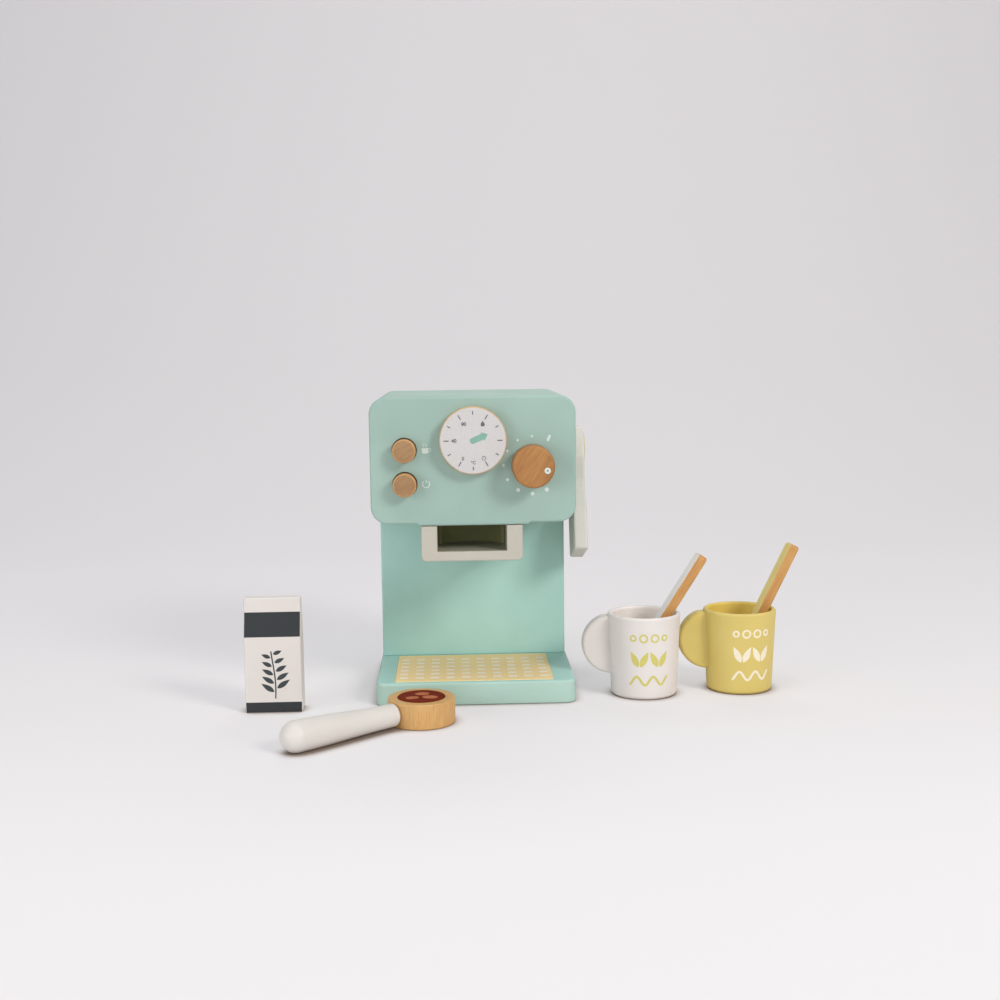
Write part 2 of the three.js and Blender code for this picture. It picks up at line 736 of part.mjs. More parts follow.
function makeFilter() {
  const filter = new THREE.Group();
  filter.position.set(filterX, filterY, 0);
  coffeeMaker.add(filter);
  const cup = rod(filterRadius, 0, filterHeight, 'z', largeSteps, filterEdgeRound, filterEdgeRound);
  const recessFloor = filterHeight - coffeeDepth;
  const recess = rod(coffeeRadius + clearance, recessFloor, filterHeight + overrun, 'z', largeSteps);

  const tilt = Math.atan2(handleEndRadius - filterHeight / 2, filterRadius + handleLength - handleEndRadius);
  const swung = (geometry) => {
    return geometry.rotateY(-tilt).translate(0, 0, filterHeight / 2).rotateZ(handleHeading * degrees);
  };
  const dowelInner = filterRadius - handleDowelSeat;
  const dowelOuter = filterRadius + handleDowelSeat;
  const holeRadius = handleDowelRadius + clearance;
  const dowelHole = swung(rod(holeRadius, dowelInner - clearance, dowelOuter + overrun, 'x'));
  piece('filter_cup', cut(cup, recess, dowelHole), paleBeech, filter);

  const layer = rod(coffeeRadius, 0, coffeeThickness, 'z', largeSteps);
  place(piece('coffee_layer', layer, coffee, filter), 0, 0, recessFloor);

  const start = filterRadius - overrun;
  const neckEnd = filterRadius + handleNeckRound;
  const swell = filterRadius + handleLength - handleEndRadius;
  const profile = [[0, start], [handleNeckRadius - handleNeckRound, start], [handleNeckRadius, neckEnd]];
  for (let i = 1; i <= cornerSteps; i += 1) {
    const share = i / cornerSteps;
    const eased = THREE.MathUtils.smoothstep(share, 0, 1);
    const radius = THREE.MathUtils.lerp(handleNeckRadius, handleEndRadius, eased);
    profile.push([radius, THREE.MathUtils.lerp(neckEnd, swell, share)]);
  }
  for (let i = 1; i < 2 * cornerSteps; i += 1) {
    const angle = (i / (2 * cornerSteps)) * (Math.PI / 2);
    profile.push([handleEndRadius * Math.cos(angle), swell + handleEndRadius * Math.sin(angle)]);
  }
  profile.push([0, swell + handleEndRadius]);
  const grip = swung(turned(profile, 'x', smallSteps));
  const aroundCup = rod(filterRadius + clearance, -overrun, filterHeight + overrun, 'z', largeSteps);
  const gripHole = swung(rod(holeRadius, start - overrun, dowelOuter + clearance, 'x'));
  piece('filter_handle', cut(grip, aroundCup, gripHole), white, filter);
  piece('handle_dowel', swung(rod(handleDowelRadius, dowelInner, dowelOuter, 'x')), paleBeech, filter);
}

const cupRadiusAt = (height) => cupFootRadius + ((cupRimRadius - cupFootRadius) * height) / cupHeight;

function cupProfile(grow = 0) {
  const foot = quarter(cupFootRound).map(([d, inset]) => [cupRadiusAt(d) - inset + grow, d]);
  const rim = quarter(cupWall / 2).reverse();
  const outside = rim.map(([d, inset]) => [cupRadiusAt(cupHeight) - inset + grow, cupHeight - d]);
  return [[0, 0], ...foot, ...outside, [cupRadiusAt(cupHeight) - cupWall / 2, cupHeight]];
}

function makeCup(color, material, [x, y], spoonFootRoom, spoonRimRoom) {
  const cup = new THREE.Group();
  cup.position.set(x, y, 0);
  coffeeMaker.add(cup);

  const rim = cupRadiusAt(cupHeight) - cupWall;
  const foot = cupRadiusAt(cupFloor) - cupWall;
  const lip = quarter(cupWall / 2).slice(0, -1).map(([d, inset]) => [rim + inset, cupHeight - d]);
  const corner = quarter(cupInnerRound).reverse().map(([d, inset]) => [foot - inset, cupFloor + d]);
  const vessel = turned([...cupProfile(), ...lip, ...corner, [0, cupFloor]], 'z', largeSteps);
  piece(`${color}_cup`, vessel, material, cup);

  const half = cupGripThickness / 2;
  const disc = rod(cupGripRadius, -half, half, 'y', largeSteps, cupGripRound, cupGripRound);
  const body = turned([...cupProfile(clearance), [0, cupHeight + clearance]], 'z', largeSteps);
  const wide = 2 * cupRimRadius;
  const pastRim = block([-wide, -wide, cupHeight - cupGripBelowRim], [wide, wide, 2 * cupHeight]);
  const farSide = block([0, -wide, -cupHeight], [wide, wide, 2 * cupHeight]);
  const grip = cut(moved(disc, -cupGripReach, 0, cupGripHeight), body, pastRim, farSide);
  piece(`${color}_cup_grip`, grip, material, cup);
  makeSpoon(color, cup, spoonFootRoom - foot, rim - spoonRimRoom);
}

// A flat spoon with a round bowl end, from its foot in the cup to where it leans on the rim
function makeSpoon(color, cup, footX, rimX) {
  const half = spoonWidth / 2;
  const stemEnd = spoonLength - 2 * spoonBowlRadius;
  const corners = [
    [-half, -spoonBowlRadius, 0], [half, -spoonBowlRadius, 0],
    [half, stemEnd, spoonEndCorner], [-half, stemEnd, spoonEndCorner],
  ];
  const stem = stack(corners, slab(spoonThickness, spoonEdgeRound, spoonEdgeRound), 'x');
  const bowl = rod(spoonBowlRadius, 0, spoonThickness, 'x', smallSteps, spoonEdgeRound, spoonEdgeRound);
  const spoon = join(moved(bowl, 0, 0, -spoonBowlRadius), stem);
  spoon.translate(-spoonThickness / 2, 0, spoonBowlRadius);

  const seat = cupFloor + clearance + Math.hypot(spoonBowlRadius, spoonThickness / 2);
  const leaning = new THREE.Group();
  leaning.position.set(footX, 0, seat);
  leaning.rotation.y = Math.atan2(rimX - footX, cupHeight - seat);
  cup.add(leaning);
  piece(`${color}_spoon`, spoon, paleBeech, leaning).rotation.z = spoonRoll * degrees;
}

function makeMilk() {
  const [d, crimp] = [milkDepth / 2, milkCrimpThickness / 2];
  const [eaves, ridge] = [milkBody, milkBody + milkRoof];
  const top = ridge + milkCrimp;
  const corners = [
    [-d, 0], [d, 0], [d, eaves], [crimp, ridge],
    [crimp, top], [-crimp, top], [-crimp, ridge], [-d, eaves],
  ].map(([y, z]) => [y, z, milkEdgeRound]);
  const carton = stack(corners, slab(milkWidth, milkEdgeRound, milkEdgeRound), 'x');
  place(piece('milk_block', carton, white), milkX - milkWidth / 2, milkFrontY + milkDepth / 2, 0);
}

makeBase();
makeColumn();
makeHead();
makeBracket();
makeDial();
makeKnob();
makeButtons();
makeLever();
makeFilter();
const yellowCupX = whiteCupX + cupRimRadius + cupsApart + cupGripRadius + cupGripReach;
makeCup('white', white, [whiteCupX, whiteCupY], whiteSpoonFootRoom, whiteSpoonRimRoom);
makeCup('yellow', yellow, [yellowCupX, yellowCupY], yellowSpoonFootRoom, yellowSpoonRimRoom);
makeMilk();

export default coffeeMaker;
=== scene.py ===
import json
from math import asin, atan2, cos, hypot, pi, radians, sin, sqrt, tau
import bpy
import bmesh
from mathutils import Matrix, Vector
from mathutils.geometry import tessellate_polygon


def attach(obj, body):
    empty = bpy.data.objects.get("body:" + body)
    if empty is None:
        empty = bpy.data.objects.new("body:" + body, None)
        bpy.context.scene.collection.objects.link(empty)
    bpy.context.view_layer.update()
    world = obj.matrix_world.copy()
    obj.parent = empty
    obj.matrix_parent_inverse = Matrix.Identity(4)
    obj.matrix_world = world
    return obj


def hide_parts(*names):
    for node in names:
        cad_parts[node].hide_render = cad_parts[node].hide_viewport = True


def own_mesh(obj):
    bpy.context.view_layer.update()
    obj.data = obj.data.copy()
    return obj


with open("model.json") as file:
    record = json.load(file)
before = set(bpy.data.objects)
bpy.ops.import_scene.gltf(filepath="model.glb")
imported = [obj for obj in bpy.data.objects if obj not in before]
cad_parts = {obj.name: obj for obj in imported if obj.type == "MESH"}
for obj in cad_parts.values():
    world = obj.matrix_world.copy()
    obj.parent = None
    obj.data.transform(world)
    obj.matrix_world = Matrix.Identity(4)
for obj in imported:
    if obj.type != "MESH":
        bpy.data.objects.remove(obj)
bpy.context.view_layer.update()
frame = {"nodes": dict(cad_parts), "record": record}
mm = 0.001
scene = bpy.context.scene
sharpAngle = radians(35)  # edges that bend more than this stay crisp
print("frame loaded")


# shader helpers
def shade(code):  # a hex colour as the linear numbers that sockets take
    parts = [int(code[i:i + 2], 16) / 255 for i in (1, 3, 5)]
    return [p / 12.92 if p <= 0.04045 else ((p + 0.055) / 1.055) ** 2.4 for p in parts] + [1]


class Wire:  # one output of a node, which can stand in a sum
    def __init__(self, graph, socket):
        self.graph, self.socket = graph, socket

    def __add__(self, other):
        return self.graph.maths("ADD", self, other)

    __radd__ = __add__

    def __sub__(self, other):
        return self.graph.maths("SUBTRACT", self, other)

    def __rsub__(self, other):
        return self.graph.maths("SUBTRACT", other, self)

    def __mul__(self, other):
        return self.graph.maths("MULTIPLY", self, other)

    __rmul__ = __mul__

    def __lt__(self, other):
        return self.graph.maths("LESS_THAN", self, other)

    def __gt__(self, other):  # also what 0.5 < wire comes to
        return self.graph.maths("GREATER_THAN", self, other)


class Graph:  # a node tree and the ways to add to it
    def __init__(self, tree):
        self.tree = tree

    def plug(self, socket, value):
        if isinstance(value, Wire):
            self.tree.links.new(value.socket, socket)
        else:
            socket.default_value = value

    def node(self, kind, settings, sockets, output=0):
        made = self.tree.nodes.new("ShaderNode" + kind)
        for words, value in settings.items():
            if words == "stops":
                for i, (spot, colour) in enumerate(value):
                    stop = made.color_ramp.elements[i] if i < 2 else made.color_ramp.elements.new(spot)
                    stop.position, stop.color = spot, colour
            else:
                setattr(made, words, value)
        for words, value in sockets.items():
            self.plug(made.inputs[words], value)
        return Wire(self, made.outputs[output])

    def maths(self, operation, *values):
        return self.node("Math", {"operation": operation}, dict(enumerate(values)))

    def between(self, value, low, high, start=0.0, end=1.0):  # low..high spread smoothly over start..end
        sockets = {"Value": value, "From Min": low, "From Max": high, "To Min": start, "To Max": end}
        return self.node("MapRange", {"interpolation_type": "SMOOTHSTEP"}, sockets)

    def mix(self, factor, a, b):
        return self.node("Mix", {"data_type": "RGBA"}, {0: factor, 6: a, 7: b}, output=2)

    def spot(self, scale=(1, 1, 1), turn=(0, 0, 0)):  # place on the piece, in mm times scale
        where = self.node("TexCoord", {}, {}, output="Object")
        turned = self.node("VectorRotate", {"rotation_type": "EULER_XYZ"},
                           {"Vector": where, "Rotation": [radians(a) for a in turn]})
        return self.node("Mapping", {}, {"Vector": turned, "Scale": [1000 * s for s in scale]})

    def noise(self, where, scale, detail=2.0, rough=0.5):
        sockets = {"Vector": where, "Scale": scale, "Detail": detail, "Roughness": rough}
        return self.node("TexNoise", {}, sockets, output="Fac")

    def axis(self, where, letter):  # X, Y or Z of a place
        return self.node("SeparateXYZ", {}, {"Vector": where}, output=letter)

    def seen(self):  # 1 for what the camera sees straight on
        return self.node("LightPath", {}, {}, output="Is Camera Ray")


class Look(Graph):  # a material and what feeds its shader
    def __init__(self, name, colour, roughness, specular=0.5, metallic=0.0):
        self.material = bpy.data.materials.new(name)
        self.material.use_nodes = True
        self.material.diffuse_color = shade(colour)
        super().__init__(self.material.node_tree)
        self.shader = self.tree.nodes["Principled BSDF"]
        self.feed("Base Color", shade(colour))
        self.feed("Roughness", roughness)
        self.feed("Specular IOR Level", specular)
        self.feed("Metallic", metallic)

    def feed(self, words, value):
        self.plug(self.shader.inputs[words], value)

    def bump(self, height, strength, distance):  # distance in mm
        sockets = {"Height": height, "Strength": strength, "Distance": distance * mm}
        self.feed("Normal", self.node("Bump", {}, sockets))


def paintLook(name, colour, deep, roughness, orangePeel=0.35, specular=0.42):  # brushed paint on sanded wood
    look = Look(name, colour, roughness, specular)
    cloud = look.noise(look.spot(), 0.022, detail=3)
    speck = look.noise(look.spot(), 1.3, detail=4, rough=0.6)
    patch = look.between(cloud * 0.75 + speck * 0.25, 0.36, 0.64)
    look.tone = look.mix(patch, shade(deep), shade(colour))
    look.feed("Base Color", look.tone)
    fibre = look.noise(look.spot((0.9, 0.9, 0.06)), 1, detail=3, rough=0.6)
    peel = look.noise(look.spot(), 0.8, detail=3)
    look.feed("Roughness", look.between(peel, 0.3, 0.7, roughness - 0.05, roughness + 0.06))
    look.bump(peel * 0.6 + fibre * 0.4, orangePeel, 0.05)
    return look


# the grain runs along Z of the place turned by grainTurn
def woodLook(name, pale, mid, dark, grainTurn, roughness=0.5, grain=0.9, flecks=0.3):
    look = Look(name, mid, roughness, specular=0.4)
    warp = look.noise(look.spot((0.05, 0.05, 0.012), grainTurn), 1, detail=2) * 3
    across = look.spot((grain, grain, 0.06 * grain), grainTurn)
    bent = look.node("VectorMath", {"operation": "ADD"}, {0: across, 1: warp})
    rings = look.noise(bent, 1, detail=4, rough=0.7)
    fibre = look.noise(look.spot((3.2, 3.2, 0.2), grainTurn), 1, detail=4, rough=0.65)
    pores = look.noise(look.spot((2.2, 2.2, 0.45), grainTurn), 1, detail=1)
    fleck = look.between(pores, 0.6, 0.72)
    cloud = look.noise(look.spot((0.06, 0.06, 0.03), grainTurn), 1, detail=2)
    tone = look.between(rings * 0.45 + fibre * 0.25 + cloud * 0.3, 0.36, 0.64)
    stops = [(0.0, shade(pale)), (1.0, shade(dark)), (0.5, shade(mid))]
    colour = look.node("ValToRGB", {"stops": stops}, {"Fac": tone}, output="Color")
    look.feed("Base Color", look.mix(fleck * flecks, colour, shade(dark)))
    look.feed("Roughness", look.between(fibre, 0.3, 0.7, roughness + 0.06, roughness - 0.05))
    look.bump(fibre * 0.7 - fleck * 0.5, 0.3, 0.05)
    return look


def inkLook(name, colour, roughness=0.55):  # screen-printed ink, a little uneven in tone
    look = Look(name, colour, roughness, specular=0.35)
    speck = look.noise(look.spot(), 2.2, detail=3)
    soft = [min(1, c * 1.18 + 0.012) for c in shade(colour)[:3]] + [1]
    look.feed("Base Color", look.mix(look.between(speck, 0.45, 0.75), shade(colour), soft))
    look.bump(speck, 0.2, 0.02)
    return look


def metalLook(name, colour, roughness):
    look = Look(name, colour, roughness, metallic=1.0)
    streak = look.noise(look.spot((0.6, 0.6, 6)), 1, detail=3)
    look.feed("Roughness", look.between(streak, 0.3, 0.7, roughness - 0.07, roughness + 0.1))
    look.bump(streak, 0.15, 0.01)
    return look


# shapes: corners in mm and faces
def sweep(start, end, steps):  # angles from start to end, both among them
    return [start + (end - start) * k / steps for k in range(steps + 1)]


def wholeTurn(steps):
    return sweep(0, tau, steps)[:-1]


def arc(u, v, radius, start, end, steps):
    return [(u + radius * cos(a), v + radius * sin(a)) for a in sweep(start, end, steps)]


def hoop(u, v, radius, steps):
    return arc(u, v, radius, 0, tau, steps)[:-1]


def quarterRound(radius, steps):
    if not radius:
        return [(0, 0)]
    return [(radius * (1 - cos(a)), radius * (1 - sin(a))) for a in sweep(0, pi / 2, steps)]


def outline(corners, inset=0.0, steps=10):  # corners are (u, v, radius), counter-clockwise
    spots = [Vector(c[:2]) for c in corners]
    points = []
    for i, (u, v, radius) in enumerate(corners):
        before, here, after = spots[i - 1], spots[i], spots[(i + 1) % len(spots)]
        normals = [Vector((-d.y, d.x)) for d in ((here - before).normalized(), (after - here).normalized())]
        split = normals[0] + normals[1]
        reach = 2 / split.length_squared
        corner = here + split * inset * reach
        if not radius:
            points.append(corner)
            continue
        cross = normals[0].x * normals[1].y - normals[0].y * normals[1].x
        bend = 1 if cross > 0 else -1
        arcRadius = max(radius - bend * inset, 0.01)
        centre = corner + split * bend * arcRadius * reach
        start, end = -bend * normals[0], -bend * normals[1]
        angle = atan2(start.x * end.y - start.y * end.x, start.dot(end))
        points += [centre + Matrix.Rotation(a, 2) @ start * arcRadius for a in sweep(0, angle, steps)]
    return points


def rectangle(left, low, right, high, lowCorner=0, highCorner=0):
    below = [(left, low, lowCorner), (right, low, lowCorner)]
    return below + [(right, high, highCorner), (left, high, highCorner)]


def rounded(corners, steps=10):  # a loop: a function that gives points for an inset
    return lambda inset: outline(corners, inset, steps)


def circle(u, v, radius, steps=64):
    return lambda inset: [Vector(p) for p in hoop(u, v, radius - inset, steps)]


# a flat piece between two heights; its edge and its holes are loops
def board(edge, low, high, roundLow=0, roundHigh=0, holes=(), steps=4, holeRound=0.0):
    levels = [(low + d, inset) for d, inset in quarterRound(roundLow, steps)]
    levels += [(high - d, inset) for d, inset in reversed(quarterRound(roundHigh, steps))]
    ends = (levels[0][0], levels[-1][0])
    vertices, faces, starts = [], [], []
    for loop in [edge, *holes]:
        rings = [loop(inset if loop is edge else -holeRound * (z in ends)) for z, inset in levels]
        count, start = len(rings[0]), len(vertices)
        starts.append((start, count, rings))
        for (height, _), points in zip(levels, rings):
            vertices += [(p.x, p.y, height) for p in points]
        for k in range(len(levels) - 1):
            for i in range(count):
                a, b = start + k * count + i, start + k * count + (i + 1) % count
                faces.append((a, b, b + count, a + count))
    for k in (0, len(levels) - 1):
        loops = [[Vector((p.x, p.y, 0)) for p in rings[k]] for _, _, rings in starts]
        names = [start + k * count + i for start, count, _ in starts for i in range(count)]
        faces += [tuple(names[i] for i in face) for face in tessellate_polygon(loops)]
    return vertices, faces


def lathe(profile, steps=96):  # profile is (radius, height) from one end of the axis to the other
    vertices, faces, rows = [], [], []
    for radius, height in profile:
        count = 1 if radius < 1e-6 else steps
        rows.append((len(vertices), count))
        vertices += [(radius * cos(a), radius * sin(a), height) for a in wholeTurn(steps)[:count]]
    for (a, countA), (b, countB) in zip(rows, rows[1:]):
        for i in range(steps):
            j = (i + 1) % steps
            if countA > 1 and countB > 1:
                faces.append((a + i, a + j, b + j, b + i))
            elif countA > 1:
                faces.append((a + i, a + j, b))
            elif countB > 1:
                faces.append((a, b + j, b + i))
    return vertices, faces


def rod(radius, low, high, roundLow=0, roundHigh=0, steps=96):
    start = [(radius - inset, low + d) for d, inset in quarterRound(roundLow, 6)]
    end = [(radius - inset, high - d) for d, inset in reversed(quarterRound(roundHigh, 6))]
    return lathe([(0, low)] + start + end + [(0, high)], steps)


def ribbon(path, width, low, high, closed=False):  # a flat stroke of ink along a path; width may be a list
    count, rows = len(path), []
    widths = width if isinstance(width, list) else [width] * count
    for i, here in enumerate(path):
        before = path[i - 1] if closed or i else here
        after = path[(i + 1) % count] if closed or i + 1 < count else here
        along = (Vector(after) - Vector(before)).normalized()
        side = Vector((-along.y, along.x)) * widths[i] / 2
        rows.append((Vector(here) + side, Vector(here) - side, Vector(here)))
    vertices = [(p.x, p.y, w) for left, right, middle in rows
                for p, w in ((left, low), (right, low), (right, high), (middle, high), (left, high))]
    faces = []
    for i in range(count if closed else count - 1):
        a, b = 5 * i, 5 * ((i + 1) % count)
        faces += [(a + k, a + (k + 1) % 5, b + (k + 1) % 5, b + k) for k in range(5)]
    if not closed:
        faces += [(0, 1, 2, 3, 4), tuple(5 * (count - 1) + k for k in range(5))]
    return vertices, faces


def leaf(root, lean, start, length, width, low, high, steps):  # printed leaf, from start past its root
    along = Vector((cos(lean), sin(lean)))
    shares = [j / steps for j in range(steps + 1)]
    path = [Vector(root) + along * (start + length * s) for s in shares]
    return ribbon(path, [0.05 + width * sin(pi * s ** 0.8) for s in shares], low, high)


def stroke(u, v, length, width, degrees):  # a straight mark with round ends
    along = Vector((cos(radians(degrees)), sin(radians(degrees)))) * length / 2
    side = Vector((-along.y, along.x)).normalized() * width / 2
    spots = [Vector((u, v)) + p for p in (-along - side, along - side, along + side, side - along)]
    return rounded([(p.x, p.y, width / 2 * 0.98) for p in spots], 6)


facings = {
    "top": Matrix(((1, 0, 0), (0, 1, 0), (0, 0, 1))),
    "front": Matrix(((1, 0, 0), (0, 0, 1), (0, 1, 0))),  # u right, v up, height towards +Y
    "side": Matrix(((0, 0, 1), (1, 0, 0), (0, 1, 0))),  # u to the back, v up, height towards +X
}


def put(shape, facing="top", at=(0, 0, 0), turn=None):
    vertices, faces = shape
    move = Matrix.Translation(at) @ (turn.to_4x4() if turn else Matrix.Identity(4)) @ facings[facing].to_4x4()
    return [tuple(move @ Vector(v)) for v in vertices], faces


def place(name, data):  # a new object in the scene
    made = bpy.data.objects.new(name, data)
    scene.collection.objects.link(made)
    return made


def meshOf(name, shapes):
    mesh = bpy.data.meshes.new(name)
    bm = bmesh.new()
    for vertices, faces in shapes:
        made = [bm.verts.new(Vector(v) * mm) for v in vertices]
        for face in faces:
            if len(set(face)) > 2:
                bm.faces.new([made[i] for i in face])
    bmesh.ops.recalc_face_normals(bm, faces=bm.faces)
    bm.to_mesh(mesh)
    bm.free()
    return mesh


def piece(name, shapes, looks, body, nodes=()):
    mesh = meshOf(name, shapes)
    mesh.polygons.foreach_set("use_smooth", [True] * len(mesh.polygons))
    mesh.set_sharp_from_angle(angle=sharpAngle)
    for look in looks if isinstance(looks, list) else [looks]:
        mesh.materials.append(look.material)
    made = place(name, mesh)
    made.modifiers.new("evenShading", "WEIGHTED_NORMAL").keep_sharp = True
    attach(made, body)
    if nodes:
        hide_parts(*nodes)
    return made


def settled(made):  # its mesh with its modifiers worked in
    return bpy.data.meshes.new_from_object(made.evaluated_get(bpy.context.evaluated_depsgraph_get()))


def carve(target, shape):  # cuts a shape out of a piece
    cutter = place("cutter", meshOf("cutter", [shape]))
    cut = target.modifiers.new("cut", "BOOLEAN")
    cut.operation, cut.object, cut.solver = "DIFFERENCE", cutter, "EXACT"
    target.modifiers.move(len(target.modifiers) - 1, 0)
    even = target.modifiers["evenShading"]
    even.show_viewport = False
    carved = settled(target)
    target.modifiers.remove(cut)
    even.show_viewport = True
    target.data = carved
    carved.set_sharp_from_angle(angle=sharpAngle)
    bpy.data.objects.remove(cutter)


# choose gives the number of a face's look, from its normal and its middle in mm
def repaint(made, choose):
    for polygon in made.data.polygons:
        polygon.material_index = int(choose(polygon.normal, polygon.center / mm))


def facesFront(normal, spot):
    return normal.y < -0.5


def figures(words, size, u, v, low, high):  # plain numbers from the built-in font, as a thin shape
    curve = bpy.data.curves.new(words, "FONT")
    curve.body, curve.size, curve.align_x, curve.align_y = words, size * mm, "CENTER", "CENTER"
    curve.extrude = (high - low) / 2 * mm
    curve.offset = 0.09 * mm  # a little bolder
    holder = place(words, curve)
    bm = bmesh.new()
    bm.from_mesh(settled(holder))
    bmesh.ops.remove_doubles(bm, verts=bm.verts, dist=1e-7)
    middle = (low + high) / 2
    vertices = [(c.co.x / mm + u, c.co.y / mm + v, c.co.z / mm + middle) for c in bm.verts]
    faces = [tuple(c.index for c in face.verts) for face in bm.faces]
    bm.free()
    bpy.data.objects.remove(holder)
    return vertices, faces


# finishes: paints have a colour and a deeper one, woods a pale, a middle and a dark one
mint = paintLook("mintPaint", "#a3bfb5", "#9db9ae", 0.58)
# a darker copy of the mint for the head's front face, as painted shade
shadedPanelMint = paintLook("panelShadedPaint", "#99b4ab", "#93aea5", 0.54)
# a lighter copy of the mint for the column's front and the base's top, as painted light
litMint = paintLook("litMintPaint", "#a9d2ca", "#a3ccc3", 0.54)
# a lighter copy of the mint for the base's front, as painted light
litBaseMint = paintLook("baseLitPaint", "#adcbc0", "#a7c5b9", 0.54)
# a darker copy of the white paint for the bracket, as painted shade
shadedBracketWhite = paintLook("bracketShadedPaint", "#bbb6ac", "#b6b2a6", 0.5, 0.3)
# a darker tone for the inside of the slot, as painted shade in the recess
slotShade = paintLook("slotShadePaint", "#a4a190", "#9b9785", 0.5, 0.3)
white = paintLook("whitePaint", "#d9d5d0", "#d4d0ca", 0.42, 0.3)
cupWhite = paintLook("cupWhitePaint", "#dcd7d4", "#d7d1cd", 0.5, 0.3)
# a darker copy of the cup's white for its grip, as painted shade
shadedGripWhite = paintLook("cupGripShadedPaint", "#cfcac5", "#cac5bf", 0.5, 0.3)
# lighter copies of the cups' paints for their insides, as painted light against the shade in the cups
litCupInside = paintLook("cupInsideLitPaint", "#ece6e2", "#e8e1dc", 0.5, 0.3)
litYellowInside = paintLook("yellowInsideLitPaint", "#e6cc68", "#e1c660", 0.5, 0.3)
leverWhite = paintLook("leverPaint", "#d0cec7", "#cbc9c1", 0.46, 0.3)
yellow = paintLook("yellowPaint", "#d2be6e", "#cdb866", 0.5, 0.3)
brown = paintLook("brownPaint", "#8b8c60", "#808155", 0.6, 0.4)
coffee = paintLook("coffeePaint", "#7c2708", "#6c1f07", 0.72, 0.3, specular=0.12)
bean = inkLook("beanInk", "#b96d42", 0.7)
beech = woodLook("beech", "#d9ab72", "#d2a268", "#c08c52", (0, 0, 0))
filterBeech = woodLook("filterBeech", "#d3a970", "#cda267", "#c19053", (0, 0, 20), grain=1.5, flecks=0.3)
knobBeech = woodLook("knobBeech", "#ae7e47", "#a47340", "#8f6032", (0, -35, 0), grain=1.1, flecks=0.35)
buttonBeech = woodLook("buttonBeech", "#a78560", "#9b7854", "#866340", (0, -60, 0), grain=1.3)
# a paler beech for the buttons' rounded edges, as painted highlight
buttonEdgeHighlight = woodLook("buttonEdgeHighlightBeech", "#c49a67", "#ba8f5c", "#a87b49", (0, -60, 0), grain=1.3)
rimBeech = woodLook("dialRimBeech", "#d0b48c", "#c6a87c", "#ab8a5c", (0, 90, 0))
spoonBeech = woodLook("spoonBeech", "#c6995e", "#bf8e53", "#ae7b42", (0, -28, 0), flecks=0.2)
plainWood = woodLook("plainWood", "#dcc29a", "#cfb184", "#b59263", (0, 0, 90), roughness=0.65)
roughBoard = woodLook("roughBoard", "#cdb48c", "#bfa378", "#a2855a", (0, 0, 0), roughness=0.75)
zinc = metalLook("zincSteel", "#b9bcc0", 0.34)
springSteel = metalLook("springSteel", "#9c9fa4", 0.3)
blackSteel = metalLook("blackSteel", "#34373a", 0.4)
faceInk = inkLook("dialFacePaint", "#c0bebd", 0.5)
greyInk = inkLook("greyInk", "#5f5c62")
mintInk = inkLook("mintInk", "#7ba596")
whiteInk = inkLook("whiteInk", "#c6d3cd")
yellowInk = inkLook("yellowInk", "#c6bf68")
creamInk = inkLook("creamInk", "#e4dcc6")
slateInk = inkLook("slateInk", "#353c3f")
print("finishes made")

slotLooks = {
    "plain_wood": plainWood, "zinc_steel": zinc, "spring_steel": springSteel, "black_steel": blackSteel,
    "mint_paint": mint, "white_paint": white, "yellow_paint": yellow, "brown_paint": brown, "beech": beech,
    "dial_print": faceInk, "tray_print": creamInk, "coffee_print": coffee, "milk_print": white,
}
for row in frame["record"]["subparts"]:  # every CAD node gets its finish, also those inside
    node = frame["nodes"][row["node"]]
    node.data.materials.clear()
    node.data.materials.append(slotLooks[row["material_slot"]].material)
frame["nodes"]["button_rail"].data.materials[0] = roughBoard.material

# base
base = {"width": 140, "front": -71, "back": 71, "height": 16.25, "frontCorner": 8, "backCorner": 4,
        "foot": 1.0, "edge": 1.9, "screwX": (-65, 65), "screwY": 43.5, "screwZ": 4, "screwHole": 3.5}
half = base["width"] / 2
corners = rectangle(-half, base["front"], half, base["back"], base["frontCorner"], base["backCorner"])
baseBoard = board(rounded(corners), 0, base["height"], base["foot"], base["edge"])
looks = [mint, litBaseMint, litMint]
basePiece = piece("baseBoard", [baseBoard], looks, "machine", ["base_board"])
for x in base["screwX"]:
    carve(basePiece, put(rod(base["screwHole"], -2, 14, 0, 0, 32), at=(x, base["screwY"], 0)))
# the base's top gets the lighter column copy and its front the lighter base copy: painted light
repaint(basePiece, lambda normal, spot: 2 if normal.z > 0.8 else facesFront(normal, spot))

tray = {"width": 111, "front": -67, "back": 12, "offset": -1.25, "thickness": 0.5, "corner": 0.8,
        "columns": 10, "rows": 6, "pitchX": 11.05, "pitchY": 11.0, "dash": 5.8, "dashDepth": 3.4,
        "middleY": -29.5, "sheet": "#f2d49b", "sheetPale": "#f5d9a4", "ink": "#f4f1ea", "cover": 0.95}
trayInk = Look("trayPrint", tray["sheet"], 0.62, specular=0.3)
onTray = trayInk.spot()


def dashes(value, middle, pitch, count, size):  # 1 inside an even row of dashes, soft over 0.6 mm
    along = (value - middle) * (1 / pitch) + 0.5
    apart = trayInk.maths("ABSOLUTE", trayInk.maths("WRAP", along, 0.5, -0.5)) * pitch
    inside = trayInk.maths("ABSOLUTE", value - middle) < count * pitch / 2
    return trayInk.between(apart, size / 2 + 0.3, size / 2 - 0.3) * inside


